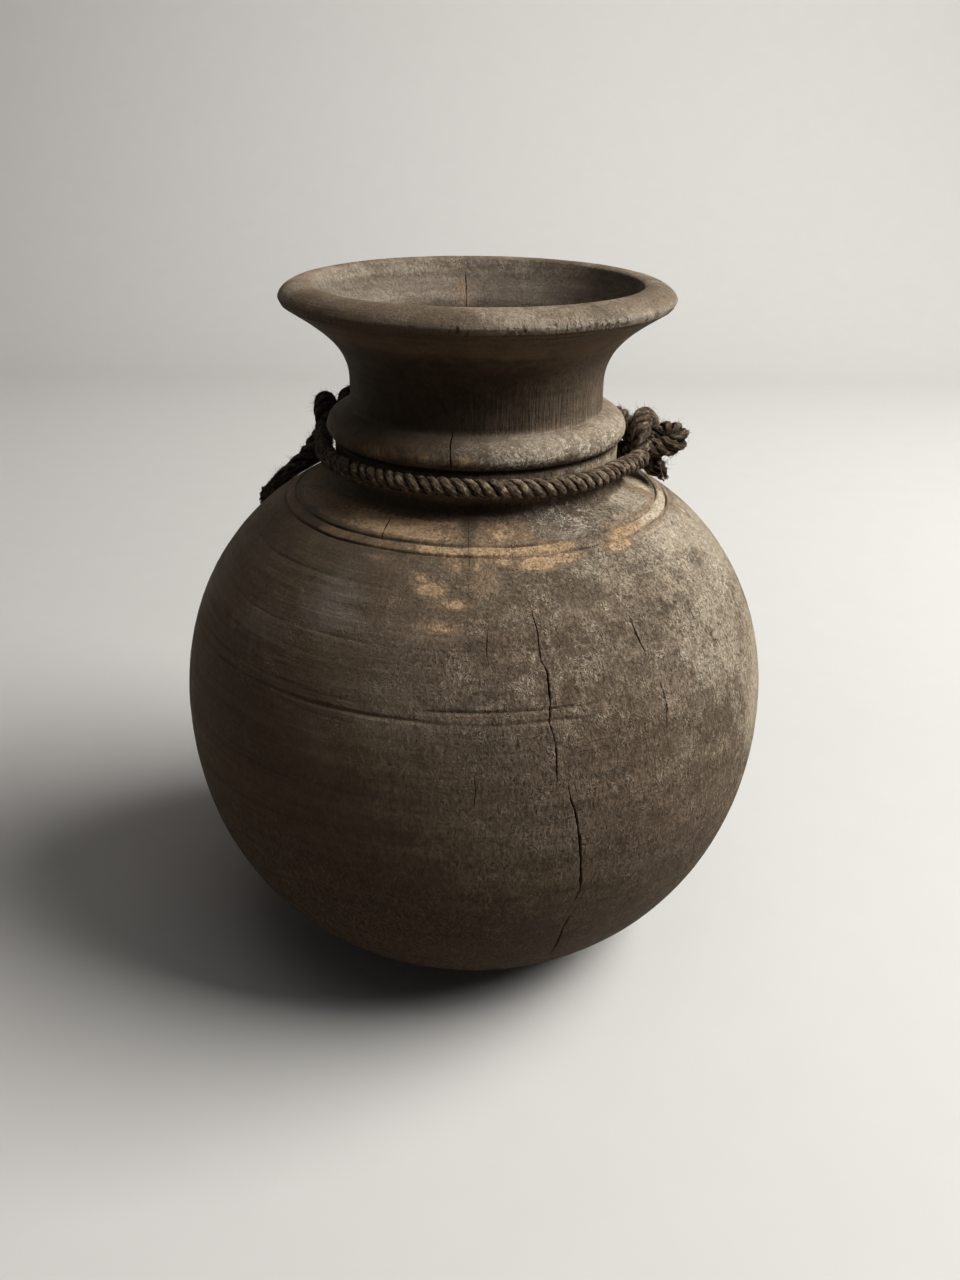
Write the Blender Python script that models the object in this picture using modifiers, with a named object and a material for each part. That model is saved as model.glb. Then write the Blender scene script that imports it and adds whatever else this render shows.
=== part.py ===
"""A turned wooden pot with a rope collar knotted round its neck. Metres, +Z up, foot at the origin."""
import math

import bpy
import numpy as np

# Belly and foot
BELLY_RADIUS = 0.110
BELLY_LEVEL = 0.102
FOOT_RADIUS = 0.0345
FOOT_EDGE = 0.0015
FOOT_EDGE_RISE = 0.0004
BASE_SLOPE = 0.18
BASE_SPREAD = 0.0366
LOWER_FULLNESS = 0.575
UPPER_FULLNESS = 0.640

# Shoulder, stub and bead below the neck, stacked upward from the belly's widest level
SHOULDER_RISE = 0.0830
SHOULDER_SLOPE = math.radians(10.2)
SHOULDER_SPREAD = 0.0171
COVE_WIDTH = 0.0071
COVE_HEIGHT = 0.0085
COVE_DROP = 0.6
COVE_RUN = 0.4
STUB_HEIGHT = 0.0079
STUB_PROUD = 0.0059
NOTCH_HEIGHT = 0.0011
NOTCH_DEPTH = 0.0012
BEAD_HEIGHT = 0.0102
BEAD_CREST = 0.0037
BEAD_PROUD = 0.0086

# Neck and flared lip
NECK_RADIUS = 0.0450
WAIST_HEIGHT = 0.0093
FLARE_HEIGHT = 0.0269
FLARE_REACH = 0.0226
LIP_EDGE_HEIGHT = 0.0021
LIP_EDGE_REACH = 0.0010
LIP_WIDTH = 0.0116
LIP_RISE = 0.0042
LIP_CROWN = 0.0020
LIP_INNER_ROUND = 0.25
LIP_OUTER_ROUND = 0.10
FLARE_LEAN = 0.53
FLARE_DROP = 0.24
FLARE_WAIST = 0.50

# Hollow
BELLY_WALL = 0.011
NECK_WALL = 0.0075
FLOOR_THICKNESS = 0.014
SHOULDER_WALL = 0.0085
THROAT_RISE = 0.010
FUNNEL_DEPTH = 0.030
FUNNEL_LIP = 0.0117
FUNNEL_BEND = 0.6
FLOOR_SPREAD = 0.58
FLOOR_FULLNESS = 0.6
ROOF_FULLNESS = 0.6
ROOF_SPREAD = 0.5
THROAT_ROUND = 0.7
THROAT_DIP = 0.4

# Incised lines, by their distance along the surface from the cove, or from the foot for the lowest one
SHOULDER_LINES = (0.0083, 0.0128)
BELLY_LINES = (0.0640, 0.0678)
BASE_LINE = 0.0340
LINE_WIDTH = 0.0014
LINE_DEPTH = 0.0006

# Rope
ROPE_DIAMETER = 0.0067
ROPE_CLEARANCE = 0.0008
ROPE_LIFT = 0.0047
RIGHT_DIP = 0.0019
JOINT_GAP = 0.0003
END_SQUARE = 0.0003
RIGHT_KNOT_TURN = 0.0
LEFT_KNOT_TURN = math.radians(160.0)
RING_STEP = math.radians(11.0)

# Knot routes in rope diameters: outward from the ring, along the ring to the rear, and up from the ring
RIGHT_HITCH = (
    (0.36, -1.50, -0.45), (0.52, -0.94, -0.44), (0.62, -0.62, -0.06), (0.64, -0.34, 0.42), (0.68, 0.26, 0.84),
    (0.82, 0.96, 1.06), (1.10, 1.68, 1.07), (1.38, 2.24, 0.76), (1.50, 2.50, 0.14), (1.52, 2.38, -0.50),
    (1.52, 1.82, -1.02), (1.56, 1.05, -1.30), (1.66, 0.40, -1.36), (1.80, -0.20, -1.26),
)
RIGHT_FRAY = ((1.94, -0.46, -1.32), (2.00, -0.58, -1.54))
RIGHT_FRAY_TAPER = 0.6
RIGHT_EAR = (
    (-0.54, 3.90, 0.60), (-0.12, 3.00, 0.72), (0.12, 2.34, 0.50), (0.40, 1.76, 0.08), (0.74, 1.50, -0.02),
    (1.30, 1.45, 0.00), (1.85, 1.42, 0.22), (2.35, 1.30, 0.44), (2.73, 1.02, 0.46), (2.88, 0.62, 0.28),
    (2.70, 0.36, 0.02), (2.27, 0.29, -0.16), (1.80, 0.33, -0.24), (1.28, 0.39, -0.32), (0.74, 0.44, -0.46),
    (0.45, 0.80, -0.82), (0.22, 1.48, -1.06), (0.02, 2.30, -0.98), (-0.26, 3.00, -0.85),
)
LEFT_HITCH = (
    (0.10, -1.70, 0.00), (0.28, -1.00, 0.05), (0.56, -0.52, 0.34), (0.84, -0.26, 0.80), (1.08, 0.32, 1.19),
    (1.32, 1.02, 1.23), (1.54, 1.62, 0.88), (1.66, 1.84, 0.26), (1.72, 1.64, -0.40), (1.82, 1.24, -0.95),
    (2.04, 0.80, -1.40),
)
LEFT_TAIL = ((2.40, 0.34, -1.96), (2.86, -0.04, -2.36))
LEFT_FRAY_TAPER = 0.5
LEFT_ROPE_END = (
    (-0.36, 3.96, 0.80), (0.20, 3.22, 1.22), (0.47, 2.66, 1.32), (0.49, 2.12, 1.12), (0.43, 1.60, 0.64),
    (0.62, 1.12, 0.24), (0.98, 0.84, 0.12), (1.34, 0.78, 0.10),
)

# Where the left rope end lies on the shoulder, in rope diameters: outward from the ring, and to the rear
LEFT_FRAY_SEATS = ((3.42, -0.38), (3.98, -0.56), (4.50, -0.68))
HITCH_LEAD = math.radians(28.0)
EAR_LEAD = math.radians(44.0)

# Facets
TURN_STEPS = 48
ROPE_SIDES_RESOLUTION = 2
KNOT_STEP = 0.0036
RING_POINT_STEP = 0.0100
LIP_POINTS = 7
FLARE_POINTS = 8
BEAD_POINTS = 6
BEAD_FOOT_POINTS = 4
COVE_POINTS = 5
SHOULDER_POINTS = 11
BASE_POINTS = 12
HOLLOW_POINTS = 8
FUNNEL_POINTS = 6
FINE_SAMPLES = 400
ROUTE_SAMPLES = 24
GAP_SAMPLES = 6

# Radii and levels that follow from the sizes above
STUB_RADIUS = NECK_RADIUS + STUB_PROUD
SHOULDER_RADIUS = STUB_RADIUS + COVE_WIDTH
BEAD_RADIUS = NECK_RADIUS + BEAD_PROUD
LIP_RADIUS = NECK_RADIUS + FLARE_REACH + LIP_EDGE_REACH
MOUTH_RADIUS = LIP_RADIUS - LIP_WIDTH
BORE_RADIUS = NECK_RADIUS - NECK_WALL
SHOULDER_LEVEL = BELLY_LEVEL + SHOULDER_RISE
STUB_FOOT = SHOULDER_LEVEL + COVE_HEIGHT
STUB_TOP = STUB_FOOT + STUB_HEIGHT
BEAD_FOOT = STUB_TOP + NOTCH_HEIGHT
BEAD_TOP = BEAD_FOOT + BEAD_HEIGHT
WAIST_LEVEL = BEAD_TOP + WAIST_HEIGHT
FLARE_TOP = WAIST_LEVEL + FLARE_HEIGHT
LIP_LEVEL = FLARE_TOP + LIP_EDGE_HEIGHT
MOUTH_LEVEL = LIP_LEVEL + LIP_RISE
RING_RADIUS = STUB_RADIUS + ROPE_CLEARANCE + ROPE_DIAMETER / 2
RING_LEVEL = STUB_FOOT + ROPE_LIFT


def clear_scene():
    """Remove whatever the file holds."""
    for item in list(bpy.data.objects):
        bpy.data.objects.remove(item, do_unlink=True)


def bezier(p0, p1, p2, p3, count):
    """Points of a cubic curve, both ends included."""
    t = np.linspace(0.0, 1.0, count)[:, None]
    ends = (1 - t) ** 3 * np.array(p0) + t ** 3 * np.array(p3)
    return ends + 3 * (1 - t) ** 2 * t * np.array(p1) + 3 * (1 - t) * t ** 2 * np.array(p2)


def quarter(centre, across, up, start, end, count):
    """Points of an elliptical arc between two angles in degrees."""
    angle = np.radians(np.linspace(start, end, count))
    return np.stack([centre[0] + across * np.cos(angle), centre[1] + up * np.sin(angle)], 1)


def along(points, distances):
    """Points at the given distances along a polyline."""
    steps = np.linalg.norm(np.diff(points, axis=0), axis=1)
    travelled = np.concatenate([[0.0], np.cumsum(steps)])
    columns = [np.interp(distances, travelled, points[:, k]) for k in range(points.shape[1])]
    return np.stack(columns, 1)


def length_of(points):
    """Length of a polyline."""
    return float(np.linalg.norm(np.diff(points, axis=0), axis=1).sum())


def with_lines(points, lines, count):
    """A profile stretch with a V-shaped incised line at each distance along it."""
    total = length_of(points)
    half = LINE_WIDTH / 2
    plain = [d for d in np.linspace(0.0, total, count) if all(abs(d - line) > LINE_WIDTH for line in lines)]
    cut = [line + side for line in lines for side in (-half, 0.0, half)]
    distances = np.array(sorted(plain + cut))
    result = along(points, distances)
    for line in lines:
        index = int(np.argmin(abs(distances - line)))
        run = result[index + 1] - result[index - 1]
        inward = np.array([run[1], -run[0]]) / np.linalg.norm(run)
        result[index] += inward * LINE_DEPTH
    return result


def lip_profile():
    """From the mouth edge over the crown to the outermost edge."""
    crown = (MOUTH_RADIUS + LIP_WIDTH * LIP_INNER_ROUND, MOUTH_LEVEL + LIP_CROWN)
    fall = (LIP_RADIUS - LIP_WIDTH * LIP_OUTER_ROUND, LIP_LEVEL + LIP_RISE)
    return bezier((MOUTH_RADIUS, MOUTH_LEVEL), crown, fall, (LIP_RADIUS, LIP_LEVEL), LIP_POINTS)


def neck_profile():
    """Underside of the flare down to the waist and the foot of the neck."""
    edge = (NECK_RADIUS + FLARE_REACH, FLARE_TOP)
    lean = (NECK_RADIUS + FLARE_REACH * FLARE_LEAN, FLARE_TOP - FLARE_HEIGHT * FLARE_DROP)
    turn = (NECK_RADIUS, FLARE_TOP - FLARE_HEIGHT * FLARE_WAIST)
    flare = bezier(edge, lean, turn, (NECK_RADIUS, WAIST_LEVEL), FLARE_POINTS)
    return np.vstack([flare, [(NECK_RADIUS, BEAD_TOP)]])


def bead_profile():
    """The bead round the foot of the neck and the stub below it."""
    crest = BEAD_FOOT + BEAD_CREST
    notch_radius = STUB_RADIUS - NOTCH_DEPTH
    upper = quarter((NECK_RADIUS, crest), BEAD_PROUD, BEAD_TOP - crest, 90, 0, BEAD_POINTS)[1:]
    lower = quarter((notch_radius, crest), BEAD_RADIUS - notch_radius, BEAD_CREST, 0, -90,
                    BEAD_FOOT_POINTS)[1:]
    stub = [(notch_radius, STUB_TOP + NOTCH_HEIGHT / 2), (STUB_RADIUS, STUB_TOP), (STUB_RADIUS, STUB_FOOT)]
    return np.vstack([upper, lower, stub])


def shoulder_curve(count):
    """Shoulder and upper belly, from the cove to the widest level."""
    start = np.array([SHOULDER_RADIUS, SHOULDER_LEVEL])
    lean = np.array([math.cos(SHOULDER_SLOPE), -math.sin(SHOULDER_SLOPE)])
    full = (BELLY_RADIUS, BELLY_LEVEL + UPPER_FULLNESS * SHOULDER_RISE)
    return bezier(start, start + SHOULDER_SPREAD * lean, full, (BELLY_RADIUS, BELLY_LEVEL), count)


def base_curve(count):
    """Lower belly, from the widest level to the edge of the foot."""
    foot = (FOOT_RADIUS + FOOT_EDGE, FOOT_EDGE_RISE)
    spread = (foot[0] + BASE_SPREAD, foot[1] + BASE_SPREAD * BASE_SLOPE)
    full = (BELLY_RADIUS, BELLY_LEVEL * (1 - LOWER_FULLNESS))
    return bezier((BELLY_RADIUS, BELLY_LEVEL), full, spread, foot, count)


def belly_profile():
    """Cove, shoulder, belly and foot with their incised lines."""
    rise = (SHOULDER_RADIUS - STUB_RADIUS) * (1 - COVE_RUN) * math.tan(SHOULDER_SLOPE)
    cove = bezier((STUB_RADIUS, STUB_FOOT), (STUB_RADIUS, STUB_FOOT - COVE_HEIGHT * COVE_DROP),
                  (STUB_RADIUS + COVE_WIDTH * COVE_RUN, SHOULDER_LEVEL + rise),
                  (SHOULDER_RADIUS, SHOULDER_LEVEL), COVE_POINTS)[1:-1]
    upper = with_lines(shoulder_curve(FINE_SAMPLES), SHOULDER_LINES + BELLY_LINES, SHOULDER_POINTS)
    lower_curve = base_curve(FINE_SAMPLES)
    lower = with_lines(lower_curve, (length_of(lower_curve) - BASE_LINE,), BASE_POINTS)[1:]
    return np.vstack([cove, upper, lower, [(FOOT_RADIUS, 0.0), (0.0, 0.0)]])


def hollow_profile():
    """Inside of the pot from the middle of its floor up to the mouth."""
    inner = BELLY_RADIUS - BELLY_WALL
    ceiling = SHOULDER_LEVEL - SHOULDER_WALL
    throat = (BORE_RADIUS, ceiling + THROAT_RISE)
    floor_rise = (BELLY_LEVEL - FLOOR_THICKNESS) * (1 - FLOOR_FULLNESS)
    floor = bezier((0.0, FLOOR_THICKNESS), (inner * FLOOR_SPREAD, FLOOR_THICKNESS),
                   (inner, FLOOR_THICKNESS + floor_rise), (inner, BELLY_LEVEL), HOLLOW_POINTS)
    roof = bezier((inner, BELLY_LEVEL), (inner, BELLY_LEVEL + (ceiling - BELLY_LEVEL) * ROOF_FULLNESS),
                  (BORE_RADIUS + (inner - BORE_RADIUS) * ROOF_SPREAD, ceiling - THROAT_RISE * THROAT_DIP),
                  (BORE_RADIUS + THROAT_RISE * THROAT_ROUND, ceiling), HOLLOW_POINTS)[1:]
    funnel_foot = (BORE_RADIUS, MOUTH_LEVEL - FUNNEL_DEPTH)
    bend = (BORE_RADIUS, MOUTH_LEVEL - FUNNEL_DEPTH * FUNNEL_BEND)
    funnel = bezier(funnel_foot, bend, (MOUTH_RADIUS - FUNNEL_LIP, MOUTH_LEVEL - FUNNEL_LIP),
                    (MOUTH_RADIUS, MOUTH_LEVEL), FUNNEL_POINTS)[:-1]
    return np.vstack([floor, roof, [throat], funnel])


def principled(name, colour, roughness):
    """A plain Principled material."""
    material = bpy.data.materials.new(name)
    material.use_nodes = True
    shader = material.node_tree.nodes["Principled BSDF"]
    shader.inputs["Base Color"].default_value = (*colour, 1.0)
    shader.inputs["Roughness"].default_value = roughness
    shader.inputs["Metallic"].default_value = 0.0
    return material


def build_pot(collection):
    """The whole turned pot: one profile from the inside floor, over the lip, down to the foot."""
    profile = np.vstack([hollow_profile(), lip_profile(), neck_profile(), bead_profile(), belly_profile()])
    mesh = bpy.data.meshes.new("pot")
    mesh.from_pydata([(r, 0.0, z) for r, z in profile], [(k, k + 1) for k in range(len(profile) - 1)], [])
    pot = bpy.data.objects.new("pot", mesh)
    collection.objects.link(pot)
    pot.data.materials.append(principled("old_wood", (0.085, 0.062, 0.043), 0.62))
    turn = pot.modifiers.new("turn", "SCREW")
    turn.axis = "Z"
    turn.angle = math.tau
    turn.steps = TURN_STEPS
    turn.render_steps = TURN_STEPS
    turn.use_merge_vertices = True
    turn.merge_threshold = 0.00001
    turn.use_smooth_shade = True


def ring(angle, dip=0.0):
    """A point of the rope ring, in the collar's own frame; the dip lowers it towards the right."""
    lower = dip * max(0.0, math.cos(angle))
    return np.array([RING_RADIUS * math.cos(angle), RING_RADIUS * math.sin(angle), -lower])


def knot_points(route, turn, side):
    """A knot route in the collar's frame; side is 1 at the right knot and -1 at the left, mirrored one."""
    out = np.array([math.cos(turn), math.sin(turn), 0.0])
    back = side * np.array([-math.sin(turn), math.cos(turn), 0.0])
    up = np.array([0.0, 0.0, 1.0])
    points = []
    for outward, rearward, rise in route:
        reach = RING_RADIUS + outward * ROPE_DIAMETER
        points.append(reach * out + rearward * ROPE_DIAMETER * back + rise * ROPE_DIAMETER * up)
    return points


def on_shoulder(reach, rearward):
    """A route point lying on the shoulder, half a rope and two joint gaps above its surface."""
    curve = shoulder_curve(FINE_SAMPLES)
    radius = RING_RADIUS + reach * ROPE_DIAMETER
    index = int(np.argmin(abs(curve[:, 0] - radius)))
    run = curve[index + 1] - curve[index - 1]
    outward = np.array([-run[1], run[0]]) / np.linalg.norm(run)
    seat = curve[index] + outward * (ROPE_DIAMETER / 2 + 2 * JOINT_GAP)
    return ((seat[0] - RING_RADIUS) / ROPE_DIAMETER, rearward, (seat[1] - RING_LEVEL) / ROPE_DIAMETER)


def smooth(points):
    """A smooth curve through the route points, with the index of each route point in it."""
    p = np.array(points)
    padded = np.vstack([2 * p[0] - p[1], p, 2 * p[-1] - p[-2]])
    curve = [p[0]]
    for k in range(len(p) - 1):
        a, b, c, d = padded[k:k + 4]
        for t in np.linspace(0.0, 1.0, ROUTE_SAMPLES + 1)[1:]:
            curve.append(0.5 * (2 * b + (c - a) * t + (2 * a - 5 * b + 4 * c - d) * t ** 2
                                + (3 * b - a - 3 * c + d) * t ** 3))
    return np.array(curve), [k * ROUTE_SAMPLES for k in range(len(p))]


def stretch(curve, first, last, step):
    """Evenly spaced points of one stretch, drawn back half the joint gap and squared off at each end."""
    part = curve[first:last + 1]
    total = length_of(part)
    start = JOINT_GAP / 2
    end = total - JOINT_GAP / 2
    middle = np.linspace(start, end, max(3, round(total / step) + 1))[1:-1]
    distances = np.concatenate([[start, start + END_SQUARE], middle, [end - END_SQUARE, end]])
    return along(part, distances)


def tube(name, points, collection, collar, material, swell=None):
    """A rope stretch: a round tube along the points, with a swell factor at each point where given."""
    curve = bpy.data.curves.new(name, "CURVE")
    curve.dimensions = "3D"
    curve.bevel_depth = ROPE_DIAMETER / 2
    curve.bevel_resolution = ROPE_SIDES_RESOLUTION
    curve.use_fill_caps = True
    spline = curve.splines.new("POLY")
    spline.points.add(len(points) - 1)
    for index, point in enumerate(points):
        spline.points[index].co = (*point, 1.0)
        spline.points[index].radius = 1.0 if swell is None else swell[index]
    rope = bpy.data.objects.new(name, curve)
    collection.objects.link(rope)
    rope.parent = collar
    rope.data.materials.append(material)


def front_route():
    """Front rope from its frayed right end, round the front of the neck, to its frayed left end."""
    right = knot_points(RIGHT_HITCH + RIGHT_FRAY, RIGHT_KNOT_TURN, 1)[::-1]
    left_fray = tuple(on_shoulder(*seat) for seat in LEFT_FRAY_SEATS)
    left = knot_points(LEFT_HITCH + LEFT_TAIL + left_fray, LEFT_KNOT_TURN, -1)
    start = RIGHT_KNOT_TURN - HITCH_LEAD
    end = LEFT_KNOT_TURN + HITCH_LEAD - math.tau
    count = round((start - end) / RING_STEP)
    front = [ring(start + (end - start) * k / count, RIGHT_DIP) for k in range(count + 1)]
    marks = {"right_fray": len(RIGHT_FRAY), "right_hitch": len(right), "left_hitch": len(right) + count}
    marks["left_tail"] = len(right) + len(front) + len(LEFT_HITCH) - 1
    marks["left_fray"] = marks["left_tail"] + len(LEFT_TAIL) + 1
    return right + front + left, marks


def rear_route():
    """Rear rope from its left end, round the back of the neck, through the right ear to its hidden end."""
    left = knot_points(LEFT_ROPE_END, LEFT_KNOT_TURN, -1)[::-1]
    right = knot_points(RIGHT_EAR, RIGHT_KNOT_TURN, 1)
    start = LEFT_KNOT_TURN - EAR_LEAD
    end = RIGHT_KNOT_TURN + EAR_LEAD
    count = round((start - end) / RING_STEP)
    back = [ring(start + (end - start) * k / count) for k in range(count + 1)]
    return left + back + right, {"left_end": len(left), "right_ear": len(left) + count}


def least_gap(curve):
    """Least gap between stretches of one rope that lie more than three diameters apart along it."""
    spaced = along(curve, np.arange(0.0, length_of(curve), ROPE_DIAMETER / GAP_SAMPLES))
    apart = np.linalg.norm(spaced[:, None] - spaced[None, :], axis=2)
    index = np.arange(len(spaced))
    apart[abs(index[:, None] - index[None, :]) <= 3 * GAP_SAMPLES] = math.inf
    return float(apart.min()) - ROPE_DIAMETER


def build_front_rope(collection, collar, material):
    """Front stretch, both hitches, the left tail and the two frayed ends."""
    route, mark = front_route()
    curve, at = smooth(route)
    print("front rope, least gap to itself in mm:", round(least_gap(curve) * 1000, 2))
    cuts = {name: at[index] for name, index in mark.items()}
    fray = stretch(curve, 0, cuts["right_fray"], KNOT_STEP / 2)[::-1]
    taper = np.linspace(1.0, RIGHT_FRAY_TAPER, len(fray))
    tube("right_frayed_end", fray, collection, collar, material, taper)
    knot = stretch(curve, cuts["right_fray"], cuts["right_hitch"], KNOT_STEP)
    tube("right_hitch", knot, collection, collar, material)
    front = stretch(curve, cuts["right_hitch"], cuts["left_hitch"], RING_POINT_STEP)
    tube("front_rope", front, collection, collar, material)
    knot = stretch(curve, cuts["left_hitch"], cuts["left_tail"], KNOT_STEP)
    tube("left_hitch", knot, collection, collar, material)
    tail = stretch(curve, cuts["left_tail"], cuts["left_fray"], KNOT_STEP)
    tube("left_tail", tail, collection, collar, material)
    fray = stretch(curve, cuts["left_fray"], at[-1], KNOT_STEP)
    taper = np.linspace(1.0, LEFT_FRAY_TAPER, len(fray))
    tube("left_frayed_end", fray, collection, collar, material, taper)


def build_rear_rope(collection, collar, material):
    """Rear stretch, the ear at the right knot and the end at the left knot."""
    route, mark = rear_route()
    curve, at = smooth(route)
    print("rear rope, least gap to itself in mm:", round(least_gap(curve) * 1000, 2))
    end = stretch(curve, 0, at[mark["left_end"]], KNOT_STEP)
    tube("left_rope_end", end, collection, collar, material)
    back = stretch(curve, at[mark["left_end"]], at[mark["right_ear"]], RING_POINT_STEP)
    tube("rear_rope", back, collection, collar, material)
    ear = stretch(curve, at[mark["right_ear"]], at[-1], KNOT_STEP)
    tube("right_ear", ear, collection, collar, material)


def main():
    """Build the pot and its rope collar, which turns about the pot's axis."""
    clear_scene()
    collection = bpy.data.collections.new("wooden_pot_with_rope_collar")
    bpy.context.scene.collection.children.link(collection)
    collar = bpy.data.objects.new("rope_collar_axis", None)
    collar.location = (0.0, 0.0, RING_LEVEL)
    collection.objects.link(collar)
    build_pot(collection)
    build_front_rope(collection, collar, principled("front_rope_fibre", (0.075, 0.052, 0.036), 0.9))
    build_rear_rope(collection, collar, principled("rear_rope_fibre", (0.070, 0.049, 0.034), 0.9))


main()
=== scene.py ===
import functools
import math

import bpy
import numpy as np
from mathutils import Matrix


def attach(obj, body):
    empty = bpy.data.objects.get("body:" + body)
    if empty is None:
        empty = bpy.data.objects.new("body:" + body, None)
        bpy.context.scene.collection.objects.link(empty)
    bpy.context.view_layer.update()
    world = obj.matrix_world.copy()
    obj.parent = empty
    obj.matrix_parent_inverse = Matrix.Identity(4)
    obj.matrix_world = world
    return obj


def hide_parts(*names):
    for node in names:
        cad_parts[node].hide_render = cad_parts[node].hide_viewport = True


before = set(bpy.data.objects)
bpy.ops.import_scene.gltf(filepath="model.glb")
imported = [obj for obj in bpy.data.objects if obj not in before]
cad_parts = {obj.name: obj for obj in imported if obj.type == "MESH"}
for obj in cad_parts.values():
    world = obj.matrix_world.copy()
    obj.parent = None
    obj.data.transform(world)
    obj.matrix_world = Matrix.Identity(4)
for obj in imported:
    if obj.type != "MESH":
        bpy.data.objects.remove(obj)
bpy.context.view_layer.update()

MM = 0.001

# Turned profile, the same sizes as the solid pot
BELLY_RADIUS, BELLY_LEVEL = 0.110, 0.102
FOOT_RADIUS, FOOT_EDGE, FOOT_EDGE_RISE = 0.0345, 0.0015, 0.0004
BASE_SLOPE, BASE_SPREAD = 0.18, 0.0366
LOWER_FULLNESS, UPPER_FULLNESS = 0.575, 0.640
SHOULDER_RADIUS, SHOULDER_LEVEL = 0.058, 0.185
SHOULDER_SLOPE, SHOULDER_SPREAD = math.radians(10.2), 0.0171
STUB_RADIUS, STUB_FOOT, STUB_TOP = 0.0509, 0.1935, 0.2014
NOTCH_DEPTH, NOTCH_HEIGHT = 0.0012, 0.0011
BEAD_RADIUS, BEAD_FOOT, BEAD_CREST, BEAD_TOP = 0.0536, 0.2025, 0.2062, 0.2127
NECK_RADIUS, WAIST_LEVEL = 0.045, 0.222
FLARE_RADIUS, FLARE_TOP = 0.0676, 0.2489
LIP_RADIUS, LIP_LEVEL = 0.0686, 0.251
MOUTH_RADIUS, MOUTH_LEVEL = 0.057, 0.2552
BORE_RADIUS, FUNNEL_FOOT = 0.0375, 0.2252
INNER_RADIUS, FLOOR_LEVEL, CEILING_LEVEL, THROAT_LEVEL = 0.099, 0.014, 0.1765, 0.1865

# Incised lines: distance along the surface from the cove (or up from the foot), half width, depth
SHOULDER_LINES = ((0.0083, 0.0008, 0.00072), (0.0128, 0.0008, 0.00076))
BELLY_LINES = ((0.0640, 0.0012, 0.00040), (0.0678, 0.0012, 0.00040))
FAINT_LINES = ((0.0268, 0.0010, 0.00014), (0.0455, 0.0010, 0.00012))
BASE_LINE = (0.0340, 0.0011, 0.00030)
FLARE_LINES = ((0.0026, 0.0006, 0.00036), (0.0054, 0.0006, 0.00032))
LINE_WANDER = 0.00025
# The low crown between the shoulder lines
RIDGE_PLACE, RIDGE_HALF, RIDGE_RISE = 0.01055, 0.0016, 0.00022
LIP_CHIPS = 120

# Rope; knot routes in rope diameters: outward from the ring, rearward and up
ROPE_DIAMETER = 0.0067
RING_RADIUS, RING_LEVEL, RIGHT_DIP = 0.05505, 0.1982, 0.0019
RIGHT_KNOT_TURN, LEFT_KNOT_TURN = 0.0, math.radians(160.0)
HITCH_LEAD, EAR_LEAD, RING_STEP = math.radians(28.0), math.radians(44.0), math.radians(11.0)
TAIL_LIFT = 0.0006
RIGHT_HITCH = (
    (0.36, -1.5, -0.45), (0.52, -0.94, -0.44), (0.62, -0.62, -0.06), (0.64, -0.34, 0.42), (0.68, 0.26, 0.84),
    (0.82, 0.96, 1.06), (1.1, 1.68, 1.07), (1.38, 2.24, 0.76), (1.5, 2.5, 0.14), (1.52, 2.38, -0.5),
    (1.52, 1.82, -1.02), (1.56, 1.05, -1.3), (1.66, 0.4, -1.36), (1.8, -0.2, -1.26),
)
RIGHT_FRAY = ((1.94, -0.46, -1.32), (2.0, -0.58, -1.54))
RIGHT_EAR = (
    (-0.54, 3.9, 0.6), (-0.12, 3.0, 0.72), (0.12, 2.34, 0.5), (0.4, 1.76, 0.08), (0.74, 1.5, -0.02),
    (1.3, 1.45, 0.0), (1.85, 1.42, 0.22), (2.35, 1.3, 0.44), (2.73, 1.02, 0.46), (2.88, 0.62, 0.28),
    (2.7, 0.36, 0.02), (2.27, 0.29, -0.16), (1.8, 0.33, -0.24), (1.28, 0.39, -0.32), (0.74, 0.44, -0.46),
    (0.45, 0.8, -0.82), (0.22, 1.48, -1.06), (0.02, 2.3, -0.98), (-0.26, 3.0, -0.85),
)
LEFT_HITCH = (
    (0.1, -1.7, 0.0), (0.28, -1.0, 0.05), (0.56, -0.52, 0.34), (0.84, -0.26, 0.8), (1.08, 0.32, 1.19),
    (1.32, 1.02, 1.23), (1.54, 1.62, 0.88), (1.66, 1.84, 0.26), (1.72, 1.64, -0.4), (1.82, 1.24, -0.95),
    (2.04, 0.8, -1.4),
)
LEFT_TAIL = ((2.4, 0.34, -1.96), (2.86, -0.04, -2.36))
LEFT_FRAY_SEATS = ((3.42, -0.38), (3.98, -0.56), (4.5, -0.68))
LEFT_ROPE_END = (
    (-0.36, 3.96, 0.8), (0.2, 3.22, 1.22), (0.47, 2.66, 1.32), (0.49, 2.12, 1.12), (0.43, 1.6, 0.64),
    (0.62, 1.12, 0.24), (0.98, 0.84, 0.12), (1.34, 0.78, 0.1),
)

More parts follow.
